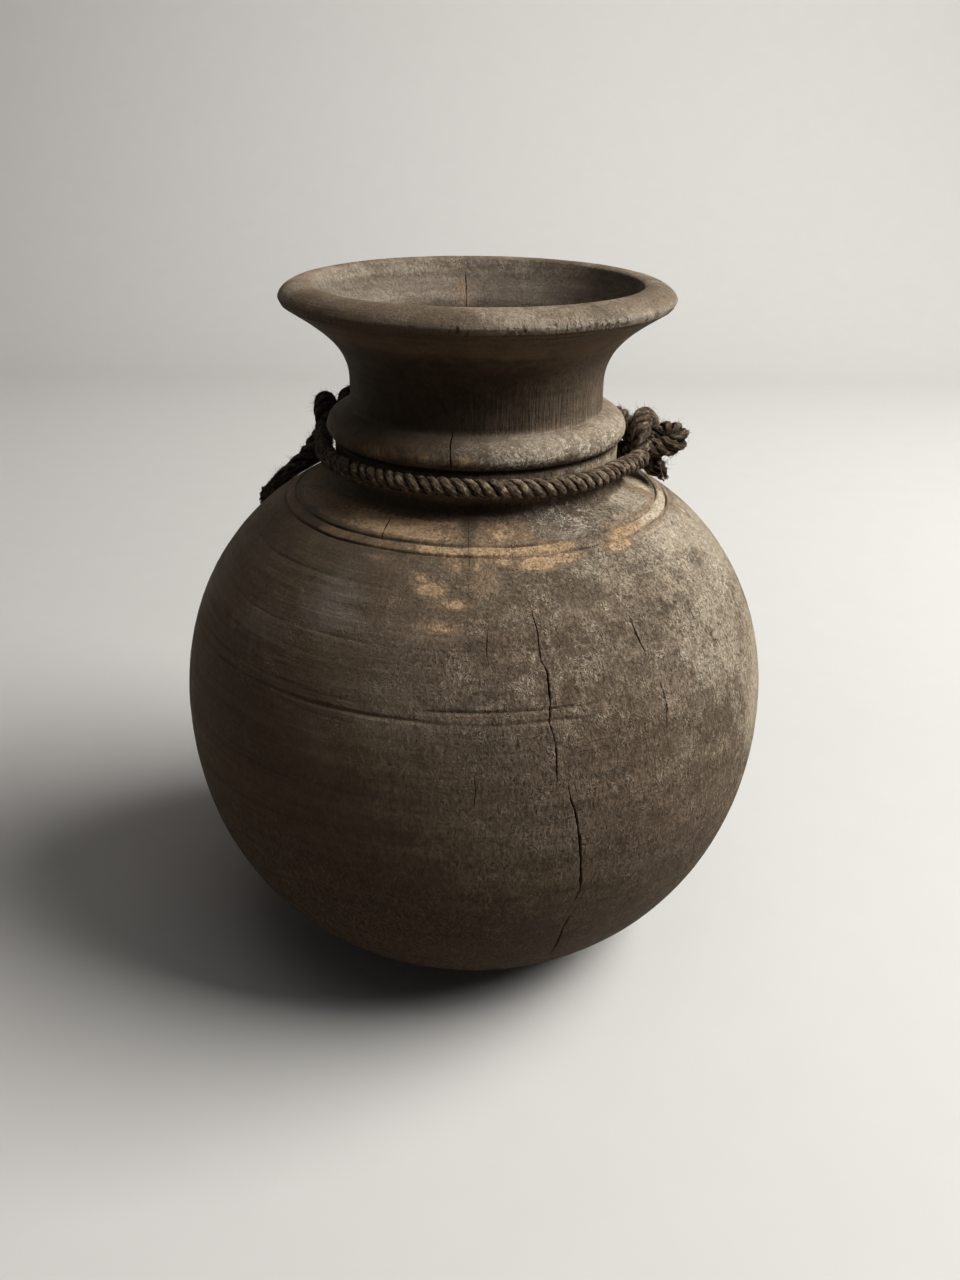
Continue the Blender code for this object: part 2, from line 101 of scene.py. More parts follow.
# Cracks as (turn from the front in degrees, level in mm), top to bottom, with width and depth in mm.
# Each inner tuple shares one set of mesh columns. The first set is on the inside of the mouth.
INNER_COLUMNS = 1
CRACK_COLUMNS = (
    ((((-174.9, 251.5), (-174.7, 246), (-174.3, 238)), 0.45, 0.6),),
    ((((-30.9, 185.9), (-29, 184.2), (-27.4, 181.9)), 0.6, 0.9),),
    ((((-10.6, 214.6), (-9.6, 211.2), (-9.1, 208.6), (-8.7, 203.4)), 0.6, 1.2),),
    (
        (((-2.8, 189), (-2.4, 185.1), (-1.6, 179.7), (-1.6, 172.5)), 0.22, 0.3),
        (((2.5, 163.6), (2.2, 158), (2.9, 152.6)), 0.32, 0.5),
        (((0.1, 123.2), (0.4, 118), (0.1, 112)), 0.38, 0.6),
    ),
    (
        (((11.5, 171.8), (12, 167.3), (12.5, 162.8), (12.4, 158), (12.5, 154.8), (13.4, 152.6),
          (13.4, 143.5), (13, 137.8), (13.6, 134), (13.9, 129.8), (13.9, 117.6)), 0.5, 1.6),
    ),
    (
        (((15.9, 117.5), (16.3, 112.6), (17.2, 107.9), (18.2, 96.6), (19.1, 81.6), (19.4, 75.5),
          (18.6, 69)), 0.8, 2.2),
        (((18.6, 63.2), (17.9, 56.1), (18.1, 45), (18.3, 33.5)), 0.6, 1.5),
    ),
    (
        (((33.3, 163), (33.5, 157.7), (34.2, 152.2)), 0.55, 0.9),
        (((36, 142.4), (36.5, 135.6), (35.7, 128.5)), 0.5, 0.9),
    ),
    ((((50.3, 159.2), (50.4, 155.4)), 0.45, 0.6),),
    ((((69, 158.9), (68.6, 152.8)), 0.5, 0.7),),
)


# Mesh columns of the pot in degrees: their step, the room kept clear beside a crack, the stretch that moves
# with it, and the columns that run along it
COLUMN_STEP, CRACK_ROOM, CRACK_HOLD = 0.8, 1.1, 1.0
ALONG_CRACK = np.array([-1.6, -1.0, -0.62, -0.4, -0.24, -0.1, 0.0, 0.1, 0.24, 0.4, 0.62, 1.0, 1.6]) * 0.546


def bezier(p0, p1, p2, p3, count):
    """Points of a cubic curve, both ends included."""
    t = np.linspace(0.0, 1.0, count)[:, None]
    ends = (1 - t) ** 3 * np.array(p0) + t ** 3 * np.array(p3)
    return ends + 3 * (1 - t) ** 2 * t * np.array(p1) + 3 * (1 - t) * t ** 2 * np.array(p2)


def arc(centre, across, up, start, end, count):
    """Points of an elliptical arc between two angles in degrees."""
    angle = np.radians(np.linspace(start, end, count))
    return vectors(centre[0] + across * np.cos(angle), centre[1] + up * np.sin(angle))


def travel(points):
    """Distance travelled along a polyline at each of its points."""
    return np.concatenate([[0.0], np.cumsum(np.linalg.norm(np.diff(points, axis=0), axis=1))])


def along(points, distances):
    """Points at the given distances along a polyline."""
    done = travel(points)
    return np.stack([np.interp(distances, done, points[:, k]) for k in range(points.shape[1])], 1)


def step(low, high, value):
    """Smooth step from 0 to 1."""
    t = np.clip((value - low) / (high - low), 0.0, 1.0)
    return t * t * (3 - 2 * t)


def window(value, low, rise, fall, high):
    """1 between rise and fall, sinking smoothly to 0 at low and high."""
    return step(low, rise, value) * (1 - step(fall, high, value))


def bump(value, centre, half):
    """Smooth hump of height 1 over a half width."""
    return np.exp(-((value - centre) / half) ** 2)


def unit(vectors):
    """The same directions at length 1."""
    return vectors / np.maximum(np.linalg.norm(vectors, axis=-1, keepdims=True), 1e-12)


def vectors(*parts):
    """Vectors from parts that may be of different shapes."""
    return np.stack(np.broadcast_arrays(*parts), -1)


def strongest(*masks):
    """The largest of several values at each place."""
    return functools.reduce(np.maximum, masks)


def lattice(cell, seed):
    """A repeatable random value from -1 to 1 for each lattice cell."""
    h = (cell[..., 0] * 374761393 + cell[..., 1] * 668265263 + cell[..., 2] * 2147483647 + seed * 1274126177)
    h = h & 0xFFFFFFFF
    h = ((h ^ (h >> 13)) * 1274126177) & 0xFFFFFFFF
    h = ((h ^ (h >> 16)) * 2246822519) & 0xFFFFFFFF
    return (h ^ (h >> 15)).astype(np.float64) / 0x7FFFFFFF - 1.0


def noise(points, seed, octaves=1):
    """Smooth repeatable noise, about -1 to 1, at points of shape (..., 3)."""
    total, size, weight = 0.0, 1.0, 1.0
    for octave in range(octaves):
        p = points * size
        cell = np.floor(p).astype(np.int64)
        t = p - cell
        t = t * t * t * (t * (t * 6 - 15) + 10)
        value = 0.0
        for corner in range(8):
            offset = np.array([corner & 1, corner >> 1 & 1, corner >> 2 & 1])
            share = np.prod(np.where(offset, t, 1 - t), axis=-1)
            value = value + share * lattice(cell + offset, seed + 101 * octave)
        total = total + weight * value
        size, weight = size * 2.03, weight * 0.5
    return total


def set_attribute(mesh, name, values, vector=False):
    """Store one number or one vector at each vertex."""
    kind, field = ("FLOAT_VECTOR", "vector") if vector else ("FLOAT", "value")
    mesh.attributes.new(name, kind, "POINT").data.foreach_set(field, np.ravel(values).astype(np.float32))


def new_mesh(name, vertices, faces, material):
    """A smooth-shaded mesh object; faces is a list of arrays, each with one number of corners."""
    mesh = bpy.data.meshes.new(name)
    mesh.vertices.add(len(vertices))
    mesh.vertices.foreach_set("co", np.ravel(vertices).astype(np.float32))
    corners = np.concatenate([np.ravel(f) for f in faces])
    sizes = np.concatenate([np.full(len(f), f.shape[1]) for f in faces])
    mesh.loops.add(len(corners))
    mesh.loops.foreach_set("vertex_index", corners.astype(np.int32))
    mesh.polygons.add(len(sizes))
    mesh.polygons.foreach_set("loop_start", (np.cumsum(sizes) - sizes).astype(np.int32))
    mesh.polygons.foreach_set("use_smooth", np.ones(len(sizes), bool))
    mesh.update(calc_edges=True)
    mesh.validate()
    mesh.materials.append(material)
    obj = bpy.data.objects.new(name, mesh)
    bpy.context.scene.collection.objects.link(obj)
    return obj


# Pot
def shoulder_curve(count):
    """Shoulder and upper belly, from the cove to the widest level."""
    start = np.array([SHOULDER_RADIUS, SHOULDER_LEVEL])
    lean = np.array([math.cos(SHOULDER_SLOPE), -math.sin(SHOULDER_SLOPE)])
    full = (BELLY_RADIUS, BELLY_LEVEL + UPPER_FULLNESS * (SHOULDER_LEVEL - BELLY_LEVEL))
    return bezier(start, start + SHOULDER_SPREAD * lean, full, (BELLY_RADIUS, BELLY_LEVEL), count)


def pot_outline():
    """The turned profile as one fine polyline from the inside floor over the lip to the foot."""
    inner, bore = INNER_RADIUS, BORE_RADIUS
    floor = bezier((0.0, FLOOR_LEVEL), (inner * 0.58, FLOOR_LEVEL),
                   (inner, FLOOR_LEVEL + (BELLY_LEVEL - FLOOR_LEVEL) * 0.4), (inner, BELLY_LEVEL), 200)
    roof = bezier((inner, BELLY_LEVEL), (inner, BELLY_LEVEL + (CEILING_LEVEL - BELLY_LEVEL) * 0.6),
                  (bore + (inner - bore) * 0.5, CEILING_LEVEL - 0.004), (bore + 0.007, CEILING_LEVEL), 200)
    funnel = bezier((bore, FUNNEL_FOOT), (bore, MOUTH_LEVEL - 0.018),
                    (MOUTH_RADIUS - 0.0055, MOUTH_LEVEL - 0.0105), (MOUTH_RADIUS, MOUTH_LEVEL), 100)
    lip = bezier((MOUTH_RADIUS, MOUTH_LEVEL), (MOUTH_RADIUS + 0.0029, MOUTH_LEVEL + 0.002),
                 (LIP_RADIUS - 0.00116, LIP_LEVEL + 0.0042), (LIP_RADIUS, LIP_LEVEL), 80)
    drop, reach = FLARE_TOP - WAIST_LEVEL, FLARE_RADIUS - NECK_RADIUS
    flare = bezier((FLARE_RADIUS, FLARE_TOP), (NECK_RADIUS + reach * 0.53, FLARE_TOP - drop * 0.24),
                   (NECK_RADIUS, FLARE_TOP - drop * 0.5), (NECK_RADIUS, WAIST_LEVEL), 120)
    notch = STUB_RADIUS - NOTCH_DEPTH
    bead = np.vstack([
        arc((NECK_RADIUS, BEAD_CREST), BEAD_RADIUS - NECK_RADIUS, BEAD_TOP - BEAD_CREST, 90, 0, 40),
        arc((notch, BEAD_CREST), BEAD_RADIUS - notch, BEAD_CREST - BEAD_FOOT, 0, -90, 30),
        [(notch, STUB_TOP + NOTCH_HEIGHT / 2), (STUB_RADIUS, STUB_TOP)],
    ])
    width = SHOULDER_RADIUS - STUB_RADIUS
    cove = bezier((STUB_RADIUS, STUB_FOOT), (STUB_RADIUS, STUB_FOOT - 0.0051),
                  (STUB_RADIUS + width * 0.4, SHOULDER_LEVEL + width * 0.6 * math.tan(SHOULDER_SLOPE)),
                  (SHOULDER_RADIUS, SHOULDER_LEVEL), 60)
    foot = (FOOT_RADIUS + FOOT_EDGE, FOOT_EDGE_RISE)
    base = bezier((BELLY_RADIUS, BELLY_LEVEL), (BELLY_RADIUS, BELLY_LEVEL * (1 - LOWER_FULLNESS)),
                  (foot[0] + BASE_SPREAD, foot[1] + BASE_SPREAD * BASE_SLOPE), foot, 300)
    return np.vstack([floor, roof, [(bore, THROAT_LEVEL)], funnel, lip, flare, bead, cove,
                      shoulder_curve(300), base, [(FOOT_RADIUS, 0.0), (0.0, 0.0)]])


def softened(points, spacing=0.0001, sigma=0.00035):
    """The profile at even fine steps, its corners rounded as by wear."""
    keep = np.concatenate([[True], np.linalg.norm(np.diff(points, axis=0), axis=1) > 1e-7])
    points = points[keep]
    fine = along(points, np.arange(0.0, travel(points)[-1], spacing))
    reach = int(4 * sigma / spacing)
    kernel = np.exp(-0.5 * (np.arange(-reach, reach + 1) * spacing / sigma) ** 2)
    kernel /= kernel.sum()
    mirror = [2 * fine[0] - fine[reach:0:-1], fine, 2 * fine[-1] - fine[-2:-reach - 2:-1]]
    padded = np.vstack(mirror)
    return np.stack([np.convolve(padded[:, k], kernel, "valid") for k in range(2)], 1)


class Profile:
    """The softened profile with the travelled distances of its landmarks."""

    def __init__(self):
        self.points = softened(pot_outline())
        self.done = travel(self.points)
        self.throat = self.at(BORE_RADIUS, THROAT_LEVEL)
        self.mouth = self.at(MOUTH_RADIUS, MOUTH_LEVEL)
        self.lip = self.at(LIP_RADIUS, LIP_LEVEL)
        self.bead = self.at(NECK_RADIUS, BEAD_TOP)
        self.shoulder = self.at(SHOULDER_RADIUS, SHOULDER_LEVEL)
        self.widest = self.at(BELLY_RADIUS, BELLY_LEVEL)
        self.foot = self.at(FOOT_RADIUS + FOOT_EDGE, FOOT_EDGE_RISE)
        self.lines = [(self.shoulder + s, h, d) for s, h, d in SHOULDER_LINES + BELLY_LINES + FAINT_LINES]
        self.lines += [(self.lip + s, h, d) for s, h, d in FLARE_LINES]
        self.lines.append((self.foot - BASE_LINE[0], *BASE_LINE[1:]))
        self.worn = range(len(SHOULDER_LINES), len(SHOULDER_LINES + BELLY_LINES))

    def at(self, r, z):
        """Distance travelled to the profile point closest to a place."""
        return self.done[np.argmin(np.hypot(self.points[:, 0] - r, self.points[:, 1] - z))]

    def rows(self):
        """Travelled distance of each mesh row: close together at lines and edges, wider elsewhere."""
        s = self.done
        zones = ((self.throat, 4.5), (self.mouth, 1.1), (self.lip + 0.003, 0.45), (self.bead, 0.9),
                 (self.shoulder, 0.55), (self.shoulder + 0.02, 0.8), (self.widest, 1.5), (self.foot, 2.0),
                 (math.inf, 3.0))
        spacing = np.empty(len(s))
        for end, value in reversed(zones):
            spacing[s <= end] = value
        for centre, half, _ in self.lines:
            spacing[abs(s - centre) < 1.5 * half] = 0.2
        count = np.concatenate([[0.0], np.cumsum(np.diff(s) / (spacing[1:] * MM))])
        return np.interp(np.arange(0.0, count[-1] + 1e-9), count, s)


def crack_turn(column, level):
    """Where a set of crack columns stands, in degrees, at each level in mm."""
    path = sorted((z, a) for points, _, _ in column for a, z in points)
    return np.interp(level, [z for z, _ in path], [a for _, a in path])


def column_angles(level, outer):
    """Column angles in degrees for each row, drawn aside so that one column follows each crack."""
    homes = [float(np.mean([a for points, _, _ in column for a, _ in points])) for column in CRACK_COLUMNS]
    plain = np.arange(-180.0, 180.0, COLUMN_STEP)
    plain = plain[[min(abs(a - h) for h in homes) > CRACK_ROOM for a in plain]]
    angles = np.sort(np.concatenate([plain] + [h + ALONG_CRACK for h in homes]))
    inside = np.arange(len(homes)) < INNER_COLUMNS
    drift = np.stack([crack_turn(column, level) - h for column, h in zip(CRACK_COLUMNS, homes)], 1)
    drift *= np.where(inside, ~outer[:, None], outer[:, None])
    still = np.zeros(len(level))
    knots, values = [-180.0], [still]
    for home, moved in zip(homes, drift.T):
        knots += [home - CRACK_HOLD, home + CRACK_HOLD]
        values += [moved, moved]
    knots, values = knots + [180.0], np.stack(values + [still], 1)
    return angles + np.stack([np.interp(angles, knots, row) for row in values])


def line_wear(turn):
    """How much is left of the two belly lines: at the right they are worn nearly away."""
    return 1 - 0.7 * window(np.degrees(turn), 14.0, 32.0, 110.0, 150.0)


def line_cut(profile, s, turn):
    """Depth of the incised lines: V cuts whose depth and place wander a little round the pot."""
    ring = vectors(np.cos(turn), np.sin(turn), 0.0)
    depth = np.zeros_like(turn)
    for k, (centre, half, deep) in enumerate(profile.lines):
        near = np.where(abs(s - centre) < 3 * half)[0]
        wander = LINE_WANDER * noise(ring[near] * 3.0, 40 + k, 3)
        strength = np.clip(0.85 + 0.75 * noise(ring[near] * 4.0, 60 + k, 4), 0.12, 1.25)
        if k in profile.worn:
            strength = strength * line_wear(turn[near])
        away = np.clip(abs(s[near, None] - centre - wander) / half, 0.0, 1.0)
        depth[near] += deep * strength * (1 - away) ** 1.6 * (1 + 0.6 * away)
    return depth


def crack_cut(turn, level, radius, outer):
    """Depth of the cracks and a 0 to 1 mark of where they run, their width fraying along their length."""
    depth, mark = np.zeros_like(turn), np.zeros_like(turn)
    degrees = np.degrees(turn)
    for k, column in enumerate(CRACK_COLUMNS):
        side = ~outer if k < INNER_COLUMNS else outer
        for n, (points, width, deep) in enumerate(column):
            top, bottom = points[0][1], points[-1][1]
            rows = np.where((level < top) & (level > bottom) & side)[0]
            if not len(rows):
                continue
            z = level[rows]
            ends = np.clip(np.minimum(top - z, z - bottom) / (0.22 * (top - bottom)), 0.0, 1.0) ** 0.6
            fray = noise(vectors(z * 0.35, 7.3 * k, n), 90, 3)
            half = 0.5 * width * ends * np.clip(0.85 + 0.55 * fray, 0.35, 1.5) * MM
            away = abs(degrees[rows] - crack_turn(column, z)[:, None]) * math.pi / 180 * radius[rows, None]
            share = np.clip(1 - away / np.maximum(half, 1e-6)[:, None], 0.0, 1.0)
            depth[rows] += deep * MM * ends[:, None] * share ** 0.7
            dark = min(1.0, deep / 0.7) * np.clip(1.2 - away / (1.1 * half + 2e-5)[:, None], 0.0, 1.0)
            mark[rows] = np.maximum(mark[rows], dark)
    return depth, mark


def turn_gap(degrees, where):
    """Radians from one turn to another, the short way round."""
    return ((degrees - where + 180) % 360 - 180) * math.pi / 180


def lip_chips(profile, s, turn):
    """Small chips and bruises along the lip's outer edge, more than half of them at the right."""
    rng = np.random.default_rng(11)
    depth = np.zeros_like(turn)
    rows = np.where(abs(s - profile.lip) < 0.006)[0]
    degrees = np.degrees(turn[rows])
    for k in range(LIP_CHIPS):
        at_right = k < LIP_CHIPS / 2
        where = rng.uniform(2, 78) if at_right else rng.uniform(-180, 180)
        size = rng.uniform(0.5, 1.6) * MM
        tall = rng.uniform(0.7, 2.0) * MM
        deep = rng.uniform(0.10, 0.42) * MM * (1.0 if at_right else 0.7)
        place = profile.lip + rng.normal(0.0006, 0.0010)
        across = turn_gap(degrees, where) * LIP_RADIUS / size
        along_lip = bump(s[rows, None], place, tall)
        depth[rows] = np.maximum(depth[rows], deep * np.exp(-across ** 2) * along_lip)
    return depth


def by_turn(degrees, table):
    """A value that follows the turn from the front in degrees, from pairs of (turn, value)."""
    return np.interp(degrees, [a for a, _ in table], [v for _, v in table])


# Worn, bare wood by turn: on the ridge between the shoulder lines, and above it
RIDGE_WEAR = ((-180, 0.5), (-120, 0.4), (-90, 0.5), (-60, 0.6), (-40, 0.68), (-18, 0.72), (-12, 0.95),
              (-4, 0.85), (2, 1.25), (20, 1.25), (27, 0.9), (30, 0.35), (38, 0.4), (42, 1.3), (58, 1.3),
              (74, 1.3), (84, 1.3), (92, 0.9), (110, 0.5), (150, 0.6), (180, 0.5))
BAND_WEAR = ((-180, 0.35), (-110, 0.35), (-60, 0.6), (-38, 0.88), (-24, 0.98), (-8, 0.85), (0, 0.55),
             (8, 0.78), (18, 0.45), (28, 0.2), (70, 0.25), (80, 0.7), (88, 0.85), (96, 0.55), (120, 0.25),
             (180, 0.35))
LIP_NICKS = ((-180, 0.3), (-60, 0.25), (-10, 0.35), (6, 0.9), (20, 1.0), (76, 1.0), (95, 0.5), (180, 0.3))
# Soft spots: turn in degrees, level in mm, half width in mm, half height in mm, strength
WEAR_SPOTS = (
    (15.5, 178.4, 9.5, 1.9, 1.25), (24, 179, 8, 1.5, 1.15), (41.5, 179.2, 7, 2, 1.2),
    (-1, 178.2, 11, 2.8, 0.85), (2, 174.5, 9, 4, 0.70), (-10, 172.8, 6.5, 2.6, 1.05),
    (-13, 175, 4.5, 1.8, 0.9), (-6.5, 163.9, 9, 2.3, 0.95), (-5, 169.6, 9.5, 1.8, 1),
    (-26, 178.5, 12, 1.4, 0.6), (7, 179.3, 9, 1.5, 0.9), (60, 172, 6, 4, 0.5), (-18, 206.5, 9, 4, 0.85),
    (-4, 207, 6, 3, 0.85), (-36, 206.5, 12, 4, 0.7), (52, 199, 16, 4, 0.5), (-172, 243, 6, 9, 0.6),
    (150, 168, 16, 8, 0.55), (-140, 176, 18, 6, 0.6), (86, 184, 5, 7, 0.9), (83, 176.5, 4, 6, 0.75),
)
STAIN_SPOTS = (
    (-2.2, 186, 3.6, 5, 0.85), (-1.8, 178.5, 3.2, 4.5, 0.8), (-1.2, 171, 3, 5, 0.6), (1, 159.5, 9, 3.6, 0.85),
    (-3, 166.6, 6, 1.8, 0.7), (8, 153, 8, 3, 0.5), (17, 160, 7, 5, 0.6), (23, 145, 9, 5, 0.5),
    (24, 171.5, 15, 4.5, 0.8), (40, 174, 11, 3, 0.6), (53, 169, 9, 5, 0.6), (63, 168, 8, 5, 0.65),
    (71, 158, 7, 7, 0.5), (8, 174, 4, 4, 0.6), (-15, 170, 8, 3.5, 0.5), (35, 61, 4, 6, 0.8),
    (38, 182.5, 9, 2.2, 0.7), (-150, 140, 20, 14, 0.6), (120, 120, 22, 16, 0.5), (-75, 150, 16, 12, 0.5),
    (170, 95, 24, 14, 0.5),
)
# Paler grey patches, partly a sooty bloom on the wood and partly a painted sheen.
HAZE_AND_SHEEN_SPOTS = (
    (-32, 166, 16, 12, 0.9), (-48, 152, 18, 16, 0.6), (26, 187.5, 12, 4, 0.8), (-18, 140, 14, 12, 0.5),
    (8, 165, 9, 6, 0.5), (24, 156, 14, 9, 0.6), (150, 150, 30, 16, 0.6), (-125, 125, 32, 22, 0.6),
    (60, 90, 24, 18, 0.4),
)
SALT_SPOTS = (
    (34, 186.5, 9, 4.5, 1), (22, 187, 8, 3, 0.6), (58, 172, 13, 7, 0.7), (70, 160, 14, 12, 0.75),
    (50, 145, 16, 12, 0.55), (62, 208, 26, 5, 1), (18, 207.5, 22, 4.5, 1), (40, 207.5, 20, 5, 1),
    (-160, 165, 20, 9, 0.5), (100, 170, 20, 10, 0.6),
)


def spots(table, degrees, level, radius):
    """The strongest of several soft spots at each vertex."""
    total = np.zeros_like(degrees)
    for turn, height, wide, tall, strength in table:
        gap = turn_gap(degrees, turn) * radius[:, None] / (wide * MM)
        total = np.maximum(total, strength * np.exp(-gap ** 2 - ((level[:, None] - height) / tall) ** 2))
    return total


def pot_marks(profile, s, level, radius, turn, outer, points):
    """Masks from 0 to 1 that the wood material reads, by name."""
    degrees = np.degrees(turn)
    q = (s - profile.shoulder)[:, None] / MM
    out = outer[:, None].astype(float)
    z = level[:, None]
    ridge = np.exp(-((q - RIDGE_PLACE / MM) / 2.5) ** 4) * by_turn(degrees, RIDGE_WEAR)
    ridge *= np.clip(0.92 + 0.4 * noise(points * np.array([55.0, 55.0, 160.0]), 24, 3), 0.3, 1.0)
    wash = bump(q, 10.0, 6.5) * 0.52 * by_turn(degrees, RIDGE_WEAR)
    band = window(q, -7.5, -3, 5, 9) * by_turn(degrees, BAND_WEAR)
    wear = np.maximum(strongest(ridge, wash, band) * out, spots(WEAR_SPOTS, degrees, level, radius))

    # The side that faces the key light: the heavier pale deposit here is partly real and partly painted
    # light.
    facing = window(degrees, 5, 60, 105, 150)
    patches = noise(points * 34.0, 21, 3)
    low = 85.0 - 45.0 * window(degrees, 40, 75, 100, 140)
    upper = window(z, low, 150 - 0.6 * (85.0 - low), 176.0, 186.0) * out
    side = 0.44 + 0.42 * step(35, 76, degrees) - 0.36 * step(74, 104, degrees)
    film_and_light = (facing * np.clip(side + 0.32 * patches, 0.0, 1.0)
            + (1 - facing) * np.clip(0.18 + 0.30 * patches, 0.0, 0.5))
    # Top half of the bead at the front and right: partly pale deposit, partly a painted highlight on its lit
    # top.
    bead = window(z, 203.5, 207, 211, 217) * window(degrees, -60, 25, 110, 150) * out
    # Right of the stub, which faces the key light: painted light.
    stub = window(z, 193, 195.5, 199.5, 201.5) * window(degrees, 25, 45, 110, 150) * out
    rim = step(249.5, 252.5, z) * 0.40
    # Far right of the shoulder: painted highlight bands over some real pale deposit.
    bright = window(degrees, 46, 62, 96, 112)
    # Pale deposit on the upper belly, bead, rim and lip, with painted light added on the side that faces the
    # key light.
    dust_and_light = strongest(
        upper * film_and_light,
        bead * (0.60 + 0.06 * step(40, 80, degrees)),
        stub * 0.7,
        rim + 0.25 * noise(points * 60.0, 23, 2) * (rim > 0.02),
        step(244, 252, z) * 0.12 * (1 - out),
        window(q, -8, -2, 6, 14) * facing * 0.65 * out,
        window(q, -8, -3, 13, 18) * bright * 0.85 * out,
    )

    # Dirt in the incised lines, joined below by painted shade: the rope's shadow, the bead's notch, the neck
    # and the inside of the mouth.
    grime_and_shade = np.zeros_like(degrees)
    for k, (centre, half, deep) in enumerate(profile.lines):
        kept = line_wear(turn) if k in profile.worn else 1.0
        grime_and_shade = np.maximum(grime_and_shade, bump(s[:, None], centre, 0.7 * half) * kept * min(1.0, deep / 0.0005))
    grime_and_shade *= np.clip(0.7 + 0.7 * noise(points * 40.0, 31, 3), 0.1, 1.0)
    cove = window(q, -14, -9, -8, -4) * (1 - 0.6 * window(degrees, 8, 32, 100, 150))
    neck = window(z, 211, 215, 236, 247) * out
    sunless = window(degrees, 20, 60, 120, 150)
    grime_and_shade = strongest(
        grime_and_shade,
        # Painted shadow of the rope on the cove and shoulder below it, narrower at the right, and painted
        # shade in the notch under the bead.
        np.clip(cove + bump(z, 202.0, 1.3) * out, 0.0, 1.0) * 0.9,
        # The neck: partly its own dark colour, partly painted shade under the lip, deepest on the side away
        # from the key light.
        neck * (0.42 + 0.36 * step(30, 80, abs(degrees - 85.0))),
        # Inside the mouth: painted shade, deepest down the bore and on the inner wall away from the key
        # light.
        np.maximum(0.42 + 0.34 * sunless, 0.75 * (1 - step(238, 250, z))) * (1 - out),
    )
    comb = window(z, 212, 214.5, 225, 236) * out
    comb = comb * (0.25 + 0.75 * window(degrees, -25, 10, 75, 120))

    # Darker umber towards the foot and on the left: partly the wood's own colour, partly painted shade on the
    # sides away from the key light.
    umber_and_shade = (1 - step(40, 112, z)) * (1 - 0.55 * step(-20, 35, degrees))
    umber_and_shade = np.maximum(umber_and_shade, 0.70 * window(degrees, -110, -50, -44, 4)) * out
    left = window(degrees, -150, -100, -35, 15)
    calm = np.maximum(0.75 * left * step(60, 100, z), 0.6 * step(204, 208, z)) * out
    calm = np.maximum(calm, 0.5 * (1 - out))
    nicks = bump(s[:, None], profile.lip + 0.0005, 0.0017) * by_turn(degrees, LIP_NICKS)
    found = {"wear": wear, "dust_and_light": dust_and_light, "grime_and_shade": grime_and_shade, "umber_and_shade": umber_and_shade, "comb": comb, "calm": calm,
             "nicks": nicks}
    for name, table in (("stain", STAIN_SPOTS), ("haze_and_sheen", HAZE_AND_SHEEN_SPOTS), ("salt", SALT_SPOTS)):
        found[name] = spots(table, degrees, level, radius) * out
    # Paler grey on the upper inner wall of the mouth, towards the rim.
    found["haze_and_sheen"] = np.maximum(found["haze_and_sheen"], 0.75 * (1 - out) * step(228, 244, z))
    return {name: np.clip(np.broadcast_to(values, degrees.shape), 0.0, 1.0) for name, values in found.items()}


def build_pot(material):
    """The pot: the turned profile with its lines, cracks, chips and slight unevenness."""
    profile = Profile()
    s = profile.rows()[1:-1]
    line, ahead, behind = (along(profile.points, s + shift) for shift in (0.0, 2e-4, -2e-4))
    run = unit(ahead - behind)
    normal = vectors(-run[:, 1], run[:, 0])
    radius, level = line[:, 0], line[:, 1] / MM
    outer = s > profile.mouth
    turn = np.radians(column_angles(level, outer))
    place = vectors(radius[:, None] * np.sin(turn), -radius[:, None] * np.cos(turn), line[:, 1:2])
    cracks, crack_mark = crack_cut(turn, level, radius, outer)
    calm = np.where((level > 188) & (level < 204) & outer, 0.3, 1.0)[:, None]
    uneven = calm * (0.00016 * noise(place * 22.0, 3, 3) + 0.00005 * noise(place * 150.0, 5, 2))
    crown = RIDGE_RISE * bump((s - profile.shoulder)[:, None], RIDGE_PLACE, RIDGE_HALF)
    offset = uneven + crown - line_cut(profile, s, turn) - cracks - lip_chips(profile, s, turn)
    offset *= np.clip(radius / 0.01, 0.0, 1.0)[:, None]
    reach = radius[:, None] + offset * normal[:, 0:1]
    height = line[:, 1:2] + offset * normal[:, 1:2]
    under = (s > profile.foot - 0.001)[:, None]
    height = np.where(under, np.maximum(line[:, 1:2], 0.0), height)
    grid = vectors(reach * np.sin(turn), -reach * np.cos(turn), height)
    rows, columns = turn.shape
    index = np.arange(rows * columns).reshape(rows, columns)
    nxt = np.roll(index, -1, 1)
    quads = np.stack([index[:-1], index[1:], nxt[1:], nxt[:-1]], -1).reshape(-1, 4)
    poles = np.array([[0.0, 0.0, FLOOR_LEVEL], [0.0, 0.0, 0.0]])
    first = np.stack([np.full(columns, rows * columns), index[0], nxt[0]], 1)
    last = np.stack([np.full(columns, rows * columns + 1), nxt[-1], index[-1]], 1)
    pot = new_mesh("turned_pot", np.vstack([grid.reshape(-1, 3), poles]), [quads, first, last], material)
    marks = pot_marks(profile, s, level, radius, turn, outer, place)
    marks["crack"] = crack_mark
    for name, values in marks.items():
        set_attribute(pot.data, name, np.concatenate([np.ravel(values), [0.0, 0.0]]))
    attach(pot, "pot")
    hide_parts("pot")


# Rope
def ring(angle, dip=0.0):
    """A point of the rope ring, which may dip towards the right."""
    level = RING_LEVEL - dip * max(0.0, math.cos(angle))
    return np.array([RING_RADIUS * math.cos(angle), RING_RADIUS * math.sin(angle), level])


def knot_points(route, turn, side):
    """A knot route in metres; side is 1 at the right knot and -1 at the left, mirrored one."""
    out = np.array([math.cos(turn), math.sin(turn), 0.0])
    back = side * np.array([-math.sin(turn), math.cos(turn), 0.0])
    up = np.array([0.0, 0.0, 1.0])
    return [(RING_RADIUS + o * ROPE_DIAMETER) * out + b * ROPE_DIAMETER * back
            + (RING_LEVEL + u * ROPE_DIAMETER) * up for o, b, u in route]


